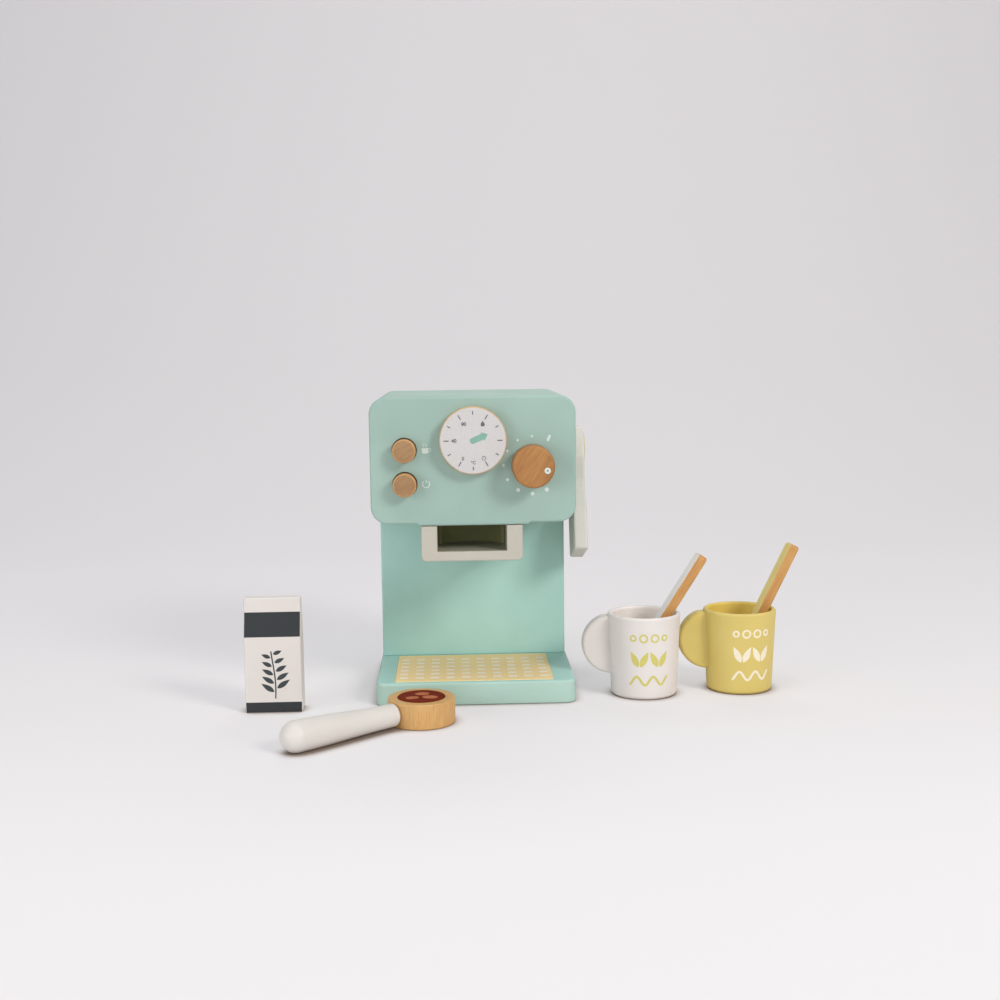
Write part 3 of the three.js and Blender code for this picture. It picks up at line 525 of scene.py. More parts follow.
across = dashes(trayInk.axis(onTray, "X"), tray["offset"], tray["pitchX"], tray["columns"], tray["dash"])
along = dashes(trayInk.axis(onTray, "Y"), tray["middleY"], tray["pitchY"], tray["rows"], tray["dashDepth"])
speck = trayInk.noise(onTray, 1.6, detail=3)
sheetTone = trayInk.mix(trayInk.between(speck, 0.4, 0.7), shade(tray["sheet"]), shade(tray["sheetPale"]))
trayInk.feed("Base Color", trayInk.mix(across * along * tray["cover"], sheetTone, shade(tray["ink"])))
trayInk.bump(speck, 0.2, 0.03)
left = tray["offset"] - tray["width"] / 2
corners = rectangle(left, tray["front"], left + tray["width"], tray["back"], tray["corner"], tray["corner"])
sheet = board(rounded(corners, 4), base["height"], base["height"] + tray["thickness"], 0, 0.2)
piece("traySheet", [sheet], trayInk, "machine", ["tray_sheet"])
print("base made")

# column
column = {"width": 138, "front": 16, "back": 71, "bottom": 16.25, "top": 128.25, "board": 8, "backBoard": 4,
          "corner": 1.2, "seam": 0.7}
c, f, b, r = column["width"] / 2, column["front"], column["back"], column["corner"]
thick, inFront, inBack = column["board"], f + column["board"], b - column["backBoard"]
columnBoards = {
    "columnFrontBoard": (rectangle(-c, f, c, inFront, r, 0), "column_front_board"),
    "columnLeftBoard": (rectangle(-c, inFront, thick - c, inBack), "column_left_board"),
    "columnRightBoard": (rectangle(c - thick, inFront, c, inBack), "column_right_board"),
    "columnBackBoard": (rectangle(-c, inBack, c, b, 0, r), "column_back_board"),
}
# the column's front faces get the lighter copy of the mint: painted light
for name, (corners, node) in columnBoards.items():
    shape = board(rounded(corners, 6), column["bottom"], column["top"], column["seam"], 0)
    repaint(piece(name, [shape], [mint, litMint], "machine", [node]), facesFront)
print("column made")

# head
head = {"width": 141, "bottom": 128.25, "top": 215.25, "front": -73, "shell": -65, "back": 67,
        "outerBack": 71, "corner": 12, "wall": 7, "edge": 1.6, "backEdge": 0.4, "lip": 38.9,
        "lipDrop": 1.5, "screwHole": 3.2, "leverAt": (18, 170.5), "leverHole": 4.3}
h, low, high, r = head["width"] / 2, head["bottom"], head["top"], head["corner"]
plainHead = rectangle(-h, low, h, high, r, r)
lip, drop, bend = head["lip"], head["lipDrop"], head["lipDrop"] / 2
lipHead = [(-h, low, r), (-lip, low, bend), (drop - lip, low - drop, bend), (lip - drop, low - drop, bend),
           (lip, low, bend), (h, low, r), (h, high, r), (-h, high, r)]
button = {"x": -46.812, "upper": 179.0, "lower": 155.75, "radius": 8.15, "base": 7.8, "gap": 0.4,
          "front": -82, "edge": 1.5, "shoulder": -64.7, "stem": 3.5, "stemEnd": -40.9}
knob = {"x": 40.3965, "z": 167.75, "radius": 14.4, "front": -91.3, "back": -73.3, "edge": 1.7, "axle": 4.3,
        "markerReach": 9.6, "markerTurn": -15.5}
frontHoles = [circle(button["x"], button[z], button["radius"] + button["gap"]) for z in ("upper", "lower")]
frontHoles += [circle(knob["x"], knob["z"], knob["axle"], 32)]
face = board(rounded(lipHead, 14), head["front"], head["shell"], head["edge"], 0, frontHoles, holeRound=0.12)
looks = [mint, shadedPanelMint]
panel = piece("headFrontBoard", [put(face, "front")], looks, "machine", ["head_front_board"])
# the front face gets the darker copy of the mint: painted shade
repaint(panel, facesFront)
wall = head["wall"]
inside = rectangle(wall - h, low + wall, h - wall, high - wall)
sleeve = board(rounded(plainHead, 14), head["shell"], head["back"], holes=[lambda inset: outline(inside)])
sleeveNodes = ["head_top_board", "head_floor_board", "head_left_board", "head_right_board"]
sleevePiece = piece("headSleeve", [put(sleeve, "front")], mint, "machine", sleeveNodes)
carve(sleevePiece, put(rod(head["leverHole"], h - 9, h + 2, 0, 0, 32), "side", (0, *head["leverAt"])))
backScrews = {"head_back_top_screw": [(x, high - wall / 2) for x in (-h / 2, h / 2)],
              "head_back_side_screw": [(x, (low + high) / 2) for x in (wall / 2 - h, h - wall / 2)]}
screwHoles = [circle(x, z, head["screwHole"], 48) for spots in backScrews.values() for x, z in spots]
rear = board(rounded(plainHead, 14), head["back"], head["outerBack"], 0, head["backEdge"], holes=screwHoles)
piece("headBackBoard", [put(rear, "front")], mint, "machine", ["head_back_board"])

screw = {"radius": 3.15, "shank": 1.5, "head": 0.7, "edge": 0.15, "arm": 1.4, "slot": 0.32}


def screwShape(length):  # head at height 0 with a cross recess, point at -length
    radius, shank, arm, slot = (screw[word] for word in ("radius", "shank", "arm", "slot"))
    under = -screw["head"]
    quarter = [Vector(p) for p in ((arm, -slot), (arm, slot), (slot, slot))]
    cross = [(*(Matrix.Rotation(k * pi / 2, 2) @ p), 0) for k in range(4) for p in quarter]
    top = board(circle(0, 0, radius, 48), under, 0, 0, screw["edge"], [lambda inset: outline(cross)])
    body = [(0, -length), (0.5, 1 - length), (shank, 4 - length), (shank, -1.9)]
    body += [(radius - 0.35, under), (0, under)]
    return [top, lathe(body, 48)]


def sideOf(x):
    return "left" if x < 0 else "right"


for group, spots in backScrews.items():
    for x, z in spots:
        shapes = [put(s, "front", (x, head["outerBack"], z)) for s in screwShape(16)]
        piece(f"{group}Piece_{sideOf(x)}", shapes, zinc, "machine", [f"{group}_{sideOf(x)}"])
for x in base["screwX"]:
    over = Matrix.Rotation(pi, 3, "X")
    shapes = [put(s, at=(x, base["screwY"], base["screwZ"]), turn=over) for s in screwShape(30)]
    piece(f"baseScrewPiece_{sideOf(x)}", shapes, zinc, "machine", [f"base_screw_{sideOf(x)}"])
print("head made")

# bracket and stop
bracket = {"left": -36.4, "right": 33.4, "bottom": 102, "front": -72.5, "back": -8.5, "arm": 11,
           "floor": 6.75, "corner": 3.6, "inCorner": 0.4, "edge": 0.8}
x0, x1, z0, z1 = bracket["left"], bracket["right"], bracket["bottom"], head["bottom"]
slot0, slot1, slotFloor = x0 + bracket["arm"], x1 - bracket["arm"], z0 + bracket["floor"]
corner, inCorner = bracket["corner"], bracket["inCorner"]
uShape = [(x0, z0, corner), (x1, z0, corner), (x1, z1, 0), (slot1, z1, 0), (slot1, slotFloor, inCorner),
          (slot0, slotFloor, inCorner), (slot0, z1, 0), (x0, z1, 0)]
uBoard = board(rounded(uShape, 8), bracket["front"], bracket["back"], bracket["edge"], bracket["edge"])
looks = [shadedBracketWhite, slotShade]
channel = piece("brewBracket", [put(uBoard, "front")], looks, "machine", ["brew_bracket"])
lipRoom = rectangle(-60, -80, 60, -64.7)
carve(channel, board(rounded(lipRoom), z1 - 1.8, z1 + 2))


def inSlot(normal, spot):  # the inside of the slot is painted darker, as painted shade in the recess, up to its front edge
    between = slot0 - 0.1 < spot.x < slot1 + 0.1 and spot.z > slotFloor - 0.1
    return between and abs(normal.y) < 0.3 and spot.y > bracket["front"] + 1.2


repaint(channel, inSlot)

stop = {"left": -25.1, "right": 22.1, "horn": -36.5, "back": -8.5, "bottom": 108.75, "top": 127.95,
        "seatX": -1.5, "seatY": -45.6, "seat": 23.1}
start = asin((stop["horn"] - stop["seatY"]) / stop["seat"])
seat = arc(stop["seatX"], stop["seatY"], stop["seat"], pi - start, start, 32)
stopEdge = [(stop["left"], stop["back"]), (stop["left"], stop["horn"]), *seat,
            (stop["right"], stop["horn"]), (stop["right"], stop["back"])]
stopShape = board(lambda inset: [Vector(p) for p in stopEdge], stop["bottom"], stop["top"])
piece("filterStop", [stopShape], brown, "machine", ["filter_stop"])
print("bracket made")


def inkBetween(front):  # the two heights of a print on a face that looks to the front
    return front - 0.06, front + 0.02


# dial
dial = {"z": 185.5, "radius": 23, "back": -73, "front": -81, "faceRadius": 22.3, "face": -81.5,
        "tickEnd": 20.0, "tick": 17.6, "longTick": 16.4, "tickWidth": 0.72, "arrowTurn": -23}
dialAt = (0, 0, dial["z"])
disc = rod(dial["radius"], dial["front"], dial["back"], 0.7, 0)
piece("dialDisc", [put(disc, "front", dialAt)], rimBeech, "machine", ["dial_disc"])
plate = rod(dial["faceRadius"], dial["face"], dial["front"], 0.25, 0)
piece("dialFace", [put(plate, "front", dialAt)], faceInk, "machine", ["dial_face"])
ink = inkBetween(dial["face"])
marks = []
for hour in range(12):
    t = radians(30 * hour)
    ends = [(sin(t) * reach, cos(t) * reach)
            for reach in (dial["longTick"] if hour % 2 else dial["tick"], dial["tickEnd"])]
    marks.append(ribbon(ends, dial["tickWidth"], *ink))
for words, size, u, v in (("40", 3.5, -12.9, -0.1), ("80", 3.3, -6.1, 11.2), ("0", 3.3, -7.0, -12.2),
                          ("°C", 3.0, 0, -15.0)):
    marks.append(figures(words, size, u, v, *ink))
marks.append(ribbon(hoop(7.2, -11.9, 1.35, 24), 0.4, *ink, closed=True))
marks.append(ribbon([(7.2, -11.9), (7.2, -11.1)], 0.35, *ink))
drop = [(6.7, 13.4, 0.2), (5.3, 11.2, 0.9), (5.5, 9.6, 0.8), (7.9, 9.6, 0.8), (8.1, 11.2, 0.9)]
marks.append(board(rounded(drop, 5), *ink))
piece("dialMarks", [put(m, "front", dialAt) for m in marks], greyInk, "machine")
lower = [(-2.1, -2.1, 1.9), (7.0, -2.1, 0.3), (7.0, -3.2, 0.3)]
tip = lower + [(11.0, 0.0, 0.25)] + [(u, -v, r) for u, v, r in reversed(lower)]
turn = Matrix.Rotation(radians(dial["arrowTurn"]), 3, "Y")
arrow = put(board(rounded(tip, 6), *ink), "front", dialAt, turn)
piece("dialArrow", [arrow], mintInk, "machine")
print("dial made")

# knob
cap = rod(knob["radius"], knob["front"], knob["back"], knob["edge"], 0.5)
piece("knobCap", [put(cap, "front", (knob["x"], 0, knob["z"]))], knobBeech, "knob", ["knob_cap"])


def aroundKnob(radius, angle):
    return knob["x"] + radius * cos(radians(angle)), knob["z"] + radius * sin(radians(angle))


markerX, markerZ = aroundKnob(knob["markerReach"], knob["markerTurn"])
profile = [(0, -90.6), (2.1, -90.6), (2.1, -91.35), (1.9, -91.5), (0.75, -91.5), (0.6, -91.2), (0, -91.15)]
marker = put(lathe(profile, 48), "front", (markerX, 0, markerZ))
piece("knobMarker", [marker], whiteInk, "knob", ["knob_marker"])

scale = {"radius": 19.7, "dashRadius": 21.6, "dashAt": 58, "dash": 4.6, "dashWidth": 1.8, "dashTurn": 67}
dotWidths = {90: 1.6, 120: 1.7, 150: 1.8, 180: 2.0, 210: 2.2, 240: 2.7, 270: 2.7, 300: 3.0}  # by angle
ink = inkBetween(head["front"])
dots = [board(circle(*aroundKnob(scale["radius"], angle), width / 2, 24), *ink)
        for angle, width in dotWidths.items()]
dashAt = aroundKnob(scale["dashRadius"], scale["dashAt"])
dots.append(board(stroke(*dashAt, scale["dash"], scale["dashWidth"], scale["dashTurn"]), *ink))
piece("knobScale", [put(s, "front") for s in dots], whiteInk, "machine")
print("knob made")

# buttons
buttonHeights = {"cup": button["upper"], "power": button["lower"]}
for word, z in buttonHeights.items():
    at, shoulder = (button["x"], 0, z), button["shoulder"]
    crown = [(button["radius"] - s, button["front"] + d) for d, s in quarterRound(button["edge"], 6)]
    profile = [(0, button["front"])] + crown
    profile += [(button["base"], head["front"]), (button["base"], shoulder), (0, shoulder)]
    stem = rod(button["stem"], shoulder, button["stemEnd"], 0, 0.4, 48)
    shapes = [put(lathe(profile), "front", at), put(stem, "front", at)]
    capLooks = [buttonBeech, buttonEdgeHighlight]
    cap = piece(f"{word}ButtonCap", shapes, capLooks, f"{word}_button", [f"{word}_button_cap"])
    repaint(cap, lambda normal, spot: abs(normal.y) < 0.97)  # the rounded edge is painted paler than the face, as painted highlight where it catches the light

spring = {"wire": 0.4, "radius": 5, "turns": 5, "front": -61.9, "length": 10, "pressed": 6}


def coil():  # a wire wound about the Y axis
    vertices, faces, count = [], [], 24 * spring["turns"]
    for k in range(count + 1):
        share, t = k / count, tau * k / 24
        outward = Vector((cos(t), 0, sin(t)))
        middle = outward * spring["radius"]
        middle.y = spring["front"] + spring["wire"] + (spring["length"] - 2 * spring["wire"]) * share
        for a in wholeTurn(8):
            vertices.append(tuple(middle + spring["wire"] * (outward * cos(a) + Vector((0, sin(a), 0)))))
        if k:
            low = 8 * (k - 1)
            faces += [(low + j, low + (j + 1) % 8, low + 8 + (j + 1) % 8, low + 8 + j) for j in range(8)]
    return vertices, faces + [tuple(range(8)), tuple(range(8 * count, 8 * count + 8))]


for word, z in buttonHeights.items():
    shape, node = put(coil(), at=(button["x"], 0, z)), f"{word}_button_spring"
    made = piece(f"{word}ButtonCoil", [shape], springSteel, "machine", [node])
    back = (button["x"] * mm, (spring["front"] + spring["length"]) * mm, z * mm)
    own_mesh(made)

icon = {"x": -32.3, "mugDrop": 0.6, "ring": 2.4, "line": 0.62}
ix, iz = icon["x"], button["upper"] - icon["mugDrop"]
mug = [(-2.7, 1.9, 0.2), (-2.4, -1.7, 0.8), (1.8, -1.7, 0.8), (2.1, 1.9, 0.2)]
icons = [board(rounded([(ix + u, iz + v, r) for u, v, r in mug], 5), *ink)]
ear = [(ix + 2.3 + 1.3 * sin(t), iz + 0.7 + 1.2 * cos(t)) for t in sweep(0, pi, 12)]
icons.append(ribbon(ear, 0.5, *ink))
for s in (-1.4, 0.3):
    steam = [(ix + s + 0.35 * sin(t), iz + 3.0 + 0.35 * t) for t in sweep(0, 6, 10)]
    icons.append(ribbon(steam, 0.4, *ink))
iz = button["lower"]
ring = arc(ix, iz, icon["ring"], pi / 2 - 0.7, 0.7 - 1.5 * pi, 30)  # open at the top
icons.append(ribbon(ring, icon["line"], *ink))
icons.append(ribbon([(ix, iz + 0.9), (ix, iz + 2.9)], icon["line"], *ink))
piece("panelIcons", [put(s, "front") for s in icons], whiteInk, "machine")
print("buttons made")

# lever
lever = {"lean": -17.5, "inner": 2.8, "thickness": 10.2, "hub": 18.5, "waist": 12.5, "paddle": 20.5,
         "corner": 9, "endCorner": 3, "reach": 78.5, "neck": 25, "neckEnd": 34, "paddleStart": 48,
         "edge": 1.6, "cap": 14, "capRoom": 0.3, "capSunk": 1.7, "capHeight": 2.5, "screwHole": 3.35}
pivot = (h, *head["leverAt"])
p, n, q, k = lever["paddle"], lever["waist"], lever["hub"], lever["corner"]
right = [(p, -lever["reach"], lever["endCorner"]), (p, -lever["paddleStart"], k), (n, -lever["neckEnd"], k),
         (n, -lever["neck"], k), (q, -q / 2, k), (q, q, q)]
left = [(-u, v, r) for u, v, r in reversed(right)]
lean = Matrix.Rotation(radians(lever["lean"]), 3, "X")
outer = lever["inner"] + lever["thickness"]
arm = board(rounded(right + left, 14), lever["inner"], outer, lever["edge"], lever["edge"])
made = piece("leverArm", [put(arm, "side", pivot, lean)], leverWhite, "lever", ["lever_arm"])
carve(made, put(rod(lever["cap"] + lever["capRoom"], outer - 2, outer + 2), "side", pivot))
carve(made, put(rod(head["leverHole"], 2, outer), "side", pivot))
capLow, capHigh = outer - lever["capSunk"], outer - lever["capSunk"] + lever["capHeight"]
screwRoom = circle(0, 0, lever["screwHole"], 32)
hubCap = board(circle(0, 0, lever["cap"], 96), capLow, capHigh, 0, 0.6, [screwRoom])
piece("leverCap", [put(hubCap, "side", pivot)], yellow, "lever", ["lever_cap"])
turn = Matrix.Rotation(pi / 2, 3, "Y")
shapes = [put(s, at=(pivot[0] + capHigh, *head["leverAt"]), turn=turn) for s in screwShape(16)]
piece("leverScrew", shapes, blackSteel, "lever", ["lever_screw"])
print("lever made")

# filter and its handle
filterPart = {"x": -37.4, "y": -109.4, "radius": 22.5, "height": 17, "edge": 1.0, "well": 16.0,
              "recess": 1.25, "coffee": 15.7, "proud": 0.5, "crease": 0.28}
beanSpots = ((-6.0, -4.4, 15, 4.4), (5.8, -3.4, -12, 5.2), (0.4, 5.4, 5, 4.8))  # x, y, turn, half length
x, y, radius, height = (filterPart[word] for word in ("x", "y", "radius", "height"))
rounding = quarterRound(filterPart["edge"], 6)
foot = [(radius - s, d) for d, s in rounding]
rim = [(radius - s, height - d) for d, s in reversed(rounding)]
well, bottom = filterPart["well"], height - filterPart["recess"]
hollow = [(well + 0.2, height), (well, height - 0.2), (well, bottom), (0, bottom)]
cupBody = put(lathe([(0, 0)] + foot + rim + hollow), at=(x, y, 0))
piece("filterCup", [cupBody], filterBeech, "filter", ["filter_cup"])
layer = put(rod(filterPart["coffee"], bottom, height + filterPart["proud"], 0, 0.4), at=(x, y, 0))
piece("coffeeLayer", [layer], coffee, "filter", ["coffee_layer"])
beans = []
for u, v, turn, size in beanSpots:
    spin = Matrix.Rotation(radians(turn), 3, "Z")
    body = [(size * cos(t), 0.66 * size * sin(t)) for t in wholeTurn(40)]
    for sign in (1, -1):  # two halves with a crease between
        lobe = [Vector((a, b + sign * filterPart["crease"])) for a, b in body if b * sign >= -0.01]
        if sign < 0:
            lobe.sort(key=lambda point: point.x)
        half = board(lambda inset, lobe=lobe: lobe, height + 0.44, height + 0.53)
        beans.append(put(half, at=(x + u, y + v, 0), turn=spin))
piece("coffeeBeans", beans, bean, "filter")

handle = {"heading": 220, "length": 87.2, "neck": 7.7, "end": 10.2, "shoulder": 2.2, "sunk": 1,
          "room": 0.3}
neck, end, shoulder = handle["neck"], handle["end"], handle["shoulder"]
sunk, leave, swell = radius - handle["sunk"], radius + handle["room"], radius + handle["length"] - end
profile = [(0, sunk), (neck - shoulder, sunk), (neck - shoulder, leave)]
profile += [(neck - s, leave + d) for d, s in quarterRound(shoulder, 8)][1:]
for k in range(1, 25):
    share = k / 24
    ease = share * share * (3 - 2 * share)
    profile.append((neck + (end - neck) * ease, leave + shoulder + (swell - leave - shoulder) * share))
profile += arc(0, swell, end, 0, pi / 2, 16)[1:]
tilt = atan2(end - height / 2, swell)  # the thick end rests on the floor
aim = Matrix.Rotation(radians(handle["heading"]), 3, "Z") @ Matrix.Rotation(pi / 2 - tilt, 3, "Y")
grip = put(lathe(profile, 72), at=(x, y, height / 2 + 0.06), turn=aim)
gripPiece = piece("filterHandle", [grip], white, "filter", ["filter_handle"])
carve(gripPiece, put(rod(leave, -3, height + 3, 0, 0, 128), at=(x, y, 0)))
print("filter made")

# cups and spoons
cup = {"rim": 26, "foot": 23.25, "height": 58.75, "wall": 3.5, "floor": 5, "footRound": 2.4,
       "floorRound": 3, "gripRadius": 21.2, "gripHalf": 5.5, "gripEdge": 2.2, "gripReach": 23.25,
       "gripHeight": 36.8, "gripTop": 56.75}
motif = {"rings": ((-11.4, 1.9), (-4.0, 2.6), (4.0, 2.6), (11.4, 1.9)), "ringsAt": 44.5, "ringLine": 1.25,
         "leaves": (-10.4, -3.5, 3.5, 10.4), "leavesAt": 29.5, "leaf": 12.5, "leafWidth": 4.6,
         "leafLean": 26, "waveAt": 14.0, "wave": 3.0, "waveLine": 1.7, "ink": (-0.05, 0.07)}


def cupRadius(z):
    return cup["foot"] + (cup["rim"] - cup["foot"]) * z / cup["height"]


def cupShape():
    bead, low, top = cup["wall"] / 2, cup["floor"], cup["height"]
    outside = [(cupRadius(d) - s, d) for d, s in quarterRound(cup["footRound"], 8)]
    rim = arc(cupRadius(top) - bead, top - bead, bead, 0, pi, 16)
    inner = cupRadius(low) - cup["wall"]
    hollow = [(inner - s, low + d) for d, s in reversed(quarterRound(cup["floorRound"], 6))]
    return lathe([(0, 0)] + outside + rim + hollow + [(0, low)], 128)


def wrapped(shape, x, y, shift):  # from (u, v) on a flat print to the front of the cup
    vertices, faces = shape
    bent = []
    for u, v, w in vertices:
        r = cupRadius(v)
        angle = (u + shift) / r
        bent.append((x + (r + w) * sin(angle), y - (r + w) * cos(angle), v))
    return bent, faces


def cupPrint():  # a row of rings above a row of leaves and a wavy line
    shapes, layer = [], motif["ink"]
    for u, size in motif["rings"]:
        shapes.append(ribbon(hoop(u, motif["ringsAt"], size, 28), motif["ringLine"], *layer, closed=True))
    for k, u in enumerate(motif["leaves"]):
        lean = radians(90 + motif["leafLean"] * (-1 if k % 2 else 1))
        size = motif["leaf"]
        shapes.append(leaf((u, motif["leavesAt"]), lean, -size / 2, size, motif["leafWidth"], *layer, 20))
    wave = [(u / 2, motif["waveAt"] + motif["wave"] * sin(u / 2 * 0.54)) for u in range(-28, 29)]
    shapes.append(ribbon(wave, motif["waveLine"], *layer))
    return shapes


spoon = {"length": 107.9, "width": 10, "thickness": 7.2, "bowl": 9.5, "end": 2.5, "edge": 0.8, "roll": 7.5}
cups = {  # print moves the print around; the rooms are from the cup's wall to the spoon at foot and rim
    "white": {"x": 120.75, "y": -45.75, "look": cupWhite, "inside": litCupInside, "grip": shadedGripWhite,
              "ink": yellowInk, "print": 0.4, "footRoom": 9.2, "rimRoom": 6,
              "spoonPaint": paintLook("whiteSpoonPaint", "#dfdcd8", "#d9d5d0", 0.5)},
    "yellow": {"x": 191.5, "y": -37, "look": yellow, "inside": litYellowInside, "grip": yellow,
               "ink": creamInk, "print": 4.0, "footRoom": 15.7, "rimRoom": 5.8,
               "spoonPaint": paintLook("yellowSpoonPaint", "#d9c67c", "#d2be72", 0.5)},
}


def spoonLoop(inset):
    half, bowl = spoon["width"] / 2 - inset, spoon["bowl"] - inset
    top = spoon["length"] - spoon["bowl"] - inset
    start = atan2(sqrt(bowl * bowl - half * half), half)
    e = max(spoon["end"] - inset, 0.2)
    points = arc(0, 0, bowl, pi - start, tau + start, 40)
    points += arc(half - e, top - e, e, 0, pi / 2, 6) + arc(e - half, top - e, e, pi / 2, pi, 6)
    return [Vector(p) for p in points]


for word, own in cups.items():
    x, y, body, slot = own["x"], own["y"], f"{word}_mug", f"{word}_paint"
    cupLooks = [own["look"], own["inside"]]
    made = piece(f"{word}Cup", [put(cupShape(), at=(x, y, 0))], cupLooks, body, [f"{word}_cup"])

    def isInside(normal, spot):
        away = hypot(spot.x - x, spot.y - y)
        return spot.z > cup["floor"] - 1 and away < cupRadius(spot.z) - cup["wall"] * 0.8

    # the inside gets the lighter copy of the cup's paint: painted light
    repaint(made, isInside)
    half, edge = cup["gripHalf"], cup["gripEdge"]
    disc = board(circle(0, 0, cup["gripRadius"], 96), -half, half, edge, edge, steps=6)
    shape = put(disc, "front", (x - cup["gripReach"], y, cup["gripHeight"]))
    # on the white cup the grip is painted in the darker copy of the white: painted shade
    gripPiece = piece(f"{word}CupGrip", [shape], own["grip"], body, [f"{word}_cup_grip"])
    plug = lathe([(0, -5), (cupRadius(-5) - 1.2, -5), (cupRadius(80) - 1.2, 80), (0, 80)], 128)
    carve(gripPiece, put(plug, at=(x, y, 0)))
    carve(gripPiece, board(rounded(rectangle(x, y - 30, x + 60, y + 30)), -10, 90))  # the disc's far half
    carve(gripPiece, board(rounded(rectangle(x - 60, y - 30, x + 60, y + 30)), cup["gripTop"], 90))
    shapes = [wrapped(shape, x, y, own["print"]) for shape in cupPrint()]
    piece(f"{word}CupPrint", shapes, own["ink"], body)

    footX = own["footRoom"] - cupRadius(cup["floor"]) + cup["wall"]
    rimX = cupRadius(cup["height"]) - cup["wall"] - own["rimRoom"]
    t = spoon["thickness"] / 2
    seat = cup["floor"] + 0.3 + hypot(spoon["bowl"], t)
    lean = Matrix.Rotation(atan2(rimX - footX, cup["height"] - seat), 3, "Y")
    lean = lean @ Matrix.Rotation(radians(spoon["roll"]), 3, "Z")
    shape = put(board(spoonLoop, -t, t, spoon["edge"], spoon["edge"]), "side", (x + footX, y, seat), lean)
    spoonLooks = [spoonBeech, own["spoonPaint"]]
    made = piece(f"{word}Spoon", [shape], spoonLooks, f"{word}_stirrer", [f"{word}_spoon"])
    flat = lean @ Vector((1, 0, 0))
    repaint(made, lambda normal, spot: abs(normal.dot(flat)) > 0.8)
print("cups made")

# milk block
milk = {"x": -139.5, "front": -79.5, "width": 38.9, "depth": 18, "body": 53.4, "roof": 16.4, "crimp": 9.6,
        "crimpHalf": 4, "edge": 1.0, "band": 7.4, "slate": "#24282b", "slatePale": "#2b3032"}
milkLook = paintLook("milkPaint", "#dad4d1", "#d5cfca", 0.48, 0.3)
z = milkLook.axis(milkLook.spot(), "Z")
outward = milkLook.node("TexCoord", {}, {}, output="Normal")
front = milkLook.axis(outward, "Y") < -0.75  # also the roof's front
eaves, ridge = milk["body"], milk["body"] + milk["roof"]
bands = milkLook.between(z, eaves - 0.6, eaves - 0.3) * milkLook.between(z, ridge - 0.2, ridge - 0.5)
bands = bands + milkLook.between(z, milk["band"] + 0.15, milk["band"] - 0.15)
speck = milkLook.noise(milkLook.spot(), 1.5, detail=3)
slateTone = milkLook.mix(speck, shade(milk["slate"]), shade(milk["slatePale"]))
milkLook.feed("Base Color", milkLook.mix(bands * front, milkLook.tone, slateTone))
d, c, e, w = milk["depth"] / 2, milk["crimpHalf"], milk["edge"], milk["width"] / 2
top = ridge + milk["crimp"]
half = [(d, 0, e), (d, eaves, e), (c, ridge, e), (c, top, e)]
side = half + [(-u, v, r) for u, v, r in reversed(half)]
carton = put(board(rounded(side, 6), -w, w, e, e), "side", (milk["x"], milk["front"] + d, 0))
piece("milkBlock", [carton], milkLook, "milk", ["milk_block"])

sprig = {"low": 10, "high": 44, "sway": 1.6, "line": 0.9, "pairs": 5, "firstPair": 14, "pitch": 6,
         "step": 2.5, "leafStart": 1.2, "leaf": 10.5, "leafWidth": 3.5}
ink = (milk["front"] - 0.05, milk["front"] + 0.03)


def stemAt(v):
    return milk["x"] + sprig["sway"] * sin(0.09 * v), v


marks = [ribbon([stemAt(v) for v in range(sprig["low"], sprig["high"])], sprig["line"], *ink)]
for k in range(sprig["pairs"]):
    for side, rise in ((-1, 0), (1, sprig["step"])):
        lean = radians(90 - side * (56 + 3 * k))
        length, width = sprig["leaf"] - k, sprig["leafWidth"] - 0.2 * k
        root = stemAt(sprig["firstPair"] + sprig["pitch"] * k + rise)
        marks.append(leaf(root, lean, sprig["leafStart"], length, width, *ink, 16))
piece("milkPrint", [put(m, "front") for m in marks], slateInk, "milk")
print("milk made")

# floor and backdrop; lengths in m
stage = {"floor": "#eae8ea", "fleck": "#d8d6d7", "paintedContactShadow": "#9c8c80", "beyond": "#dedcde",
         "even": 0.45, "contact": 0.012, "reach": 3.0, "front": -2.2, "wall": 1.7, "bend": 1.1, "top": 3.0}
fade = [(0.0, "#f4f2f3"), (1.0, "#d6d3d6"), (0.08, "#eeecee"), (0.16, "#e8e5e6"), (0.3, "#e4e2e4"),
        (0.55, "#e4e2e4"), (0.75, "#dddadd")]  # what the camera sees from the front to the back
ground = Look("floorPaper", stage["floor"], 0.9, specular=0.1)
paper = ground.noise(ground.spot(), 0.9, detail=3)
room = ground.node("AmbientOcclusion", {"samples": 8}, {"Distance": stage["contact"]}, output="AO")
clear = ground.between(room, 0.3, 0.9)  # 0 close under a piece, where the floor is painted darker as contact shadow
paperTone = ground.mix(paper * 0.12, shade(stage["floor"]), shade(stage["fleck"]))
# the floor's colour darkens close under the pieces: painted contact shadow
ground.feed("Base Color", ground.mix(clear, shade(stage["paintedContactShadow"]), paperTone))
metres = ground.spot((mm, mm, mm))
depth = ground.axis(metres, "Y")
away = ground.node("VectorMath", {"operation": "LENGTH"}, {0: metres}, output="Value")
far = ground.between(away, 0.5, 1.1) * ground.between(depth * -1, -0.6, 0.2)  # the floor towards the lamps
stops = [(spot, shade(code)) for spot, code in fade]
spread = ground.node("ValToRGB", {"stops": stops}, {"Fac": (depth + 0.35) * 0.62}, output="Color")
glow = ground.node("Emission", {}, {"Color": ground.mix(far, spread, shade(stage["beyond"]))})
even = far * (1 - stage["even"]) + stage["even"]
lit = Wire(ground, ground.shader.outputs[0])
blend = ground.node("MixShader", {}, {0: ground.seen() * clear * even, 1: lit, 2: glow})
ground.plug(ground.tree.nodes["Material Output"].inputs["Surface"], blend)
foot = stage["wall"] - stage["bend"]
rows = [(y, 0) for y in (stage["front"], -1, 0, foot)]
rows += arc(foot, stage["bend"], stage["bend"], -pi / 2, 0, 24)[1:]
rows.append((stage["wall"], stage["top"]))
mesh = bpy.data.meshes.new("backdrop")
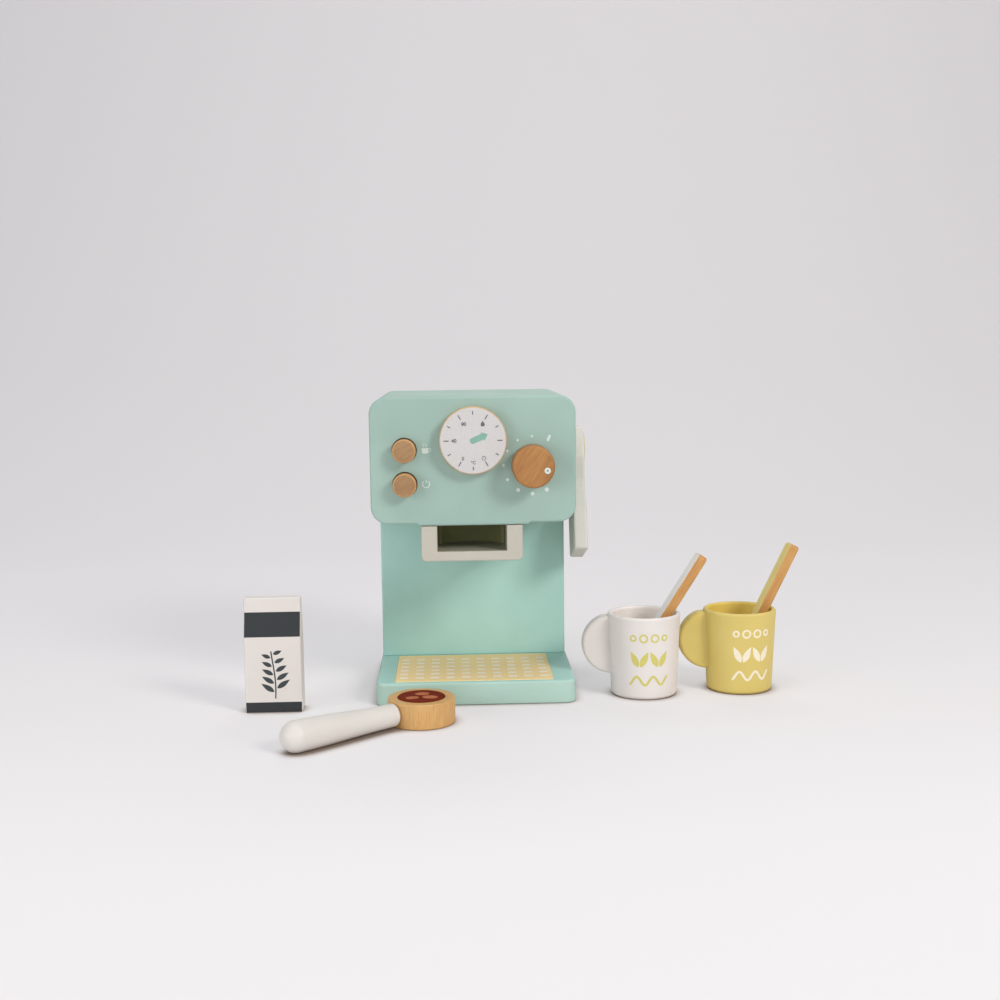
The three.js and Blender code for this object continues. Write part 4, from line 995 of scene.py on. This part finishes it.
vertices = [(x, y, z) for y, z in rows for x in (-stage["reach"], stage["reach"])]
mesh.from_pydata(vertices, [], [(2 * k, 2 * k + 1, 2 * k + 3, 2 * k + 2) for k in range(len(rows) - 1)])
mesh.polygons.foreach_set("use_smooth", [True] * len(mesh.polygons))
mesh.materials.append(ground.material)
backdrop = place("backdrop", mesh)

world = bpy.data.worlds.new("studio")
scene.world = world
world.use_nodes = True
sky = Graph(world.node_tree)
ambient = sky.tree.nodes["Background"]
sky.plug(ambient.inputs["Color"], shade("#f6f7fb"))
sky.plug(ambient.inputs["Strength"], 0.25)
pale = sky.node("Background", {}, {"Color": shade(stage["beyond"])})  # seen past the backdrop
either = sky.node("MixShader", {}, {0: sky.seen(), 1: Wire(sky, ambient.outputs[0]), 2: pale})
sky.plug(sky.tree.nodes["World Output"].inputs["Surface"], either)

lamps = {  # azimuth from the front towards the right, elevation, distance, size, watts, colour
    "keyLight": (44, 30, 2.5, 0.8, 34, "#fffaf5"),
    "fillLight": (-48, 9, 1.8, 1.2, 12, "#ffffff"),
    "frontLight": (2, 4, 1.9, 1.0, 3.8, "#ffffff"),
    "topLight": (-20, 78, 1.6, 1.2, 9, "#ffffff"),
    "backLight": (172, 42, 2.2, 1.4, 11, "#ffffff"),
}
aimAt = Vector((0.0, -0.02, 0.12))
for name, (azimuth, elevation, distance, size, power, tint) in lamps.items():
    lamp = bpy.data.lights.new(name, "AREA")
    lamp.shape, lamp.size, lamp.energy = "DISK", size, power
    lamp.color = shade(tint)[:3]
    a, e = radians(azimuth), radians(elevation)
    away = Vector((sin(a) * cos(e), -cos(a) * cos(e), sin(e)))
    holder = place(name, lamp)
    holder.location = aimAt + distance * away
    holder.rotation_euler = (-away).to_track_quat("-Z", "Y").to_euler()

# place in mm, turns in radians, focal length and picture in pixels
view = {"place": (-13.67, -983.16, 246.97), "pitch": 0.1126, "yaw": -0.0348, "roll": -0.0127,
        "focal": 1337.68, "picture": 1000, "sensor": 36}
turn = Matrix.Rotation(view["yaw"], 3, "Z") @ Matrix.Rotation(pi / 2 - view["pitch"], 3, "X")
turn = turn @ Matrix.Rotation(view["roll"], 3, "Z")
lens = bpy.data.cameras.new("camera")
lens.sensor_width = view["sensor"]
lens.lens = view["focal"] * view["sensor"] / view["picture"]
lens.clip_start, lens.clip_end = 0.01, 20
camera = place("camera", lens)
camera.matrix_world = Matrix.Translation(Vector(view["place"]) * mm) @ turn.to_4x4()
scene.camera = camera
scene.view_settings.view_transform = "Standard"
print("stage made")
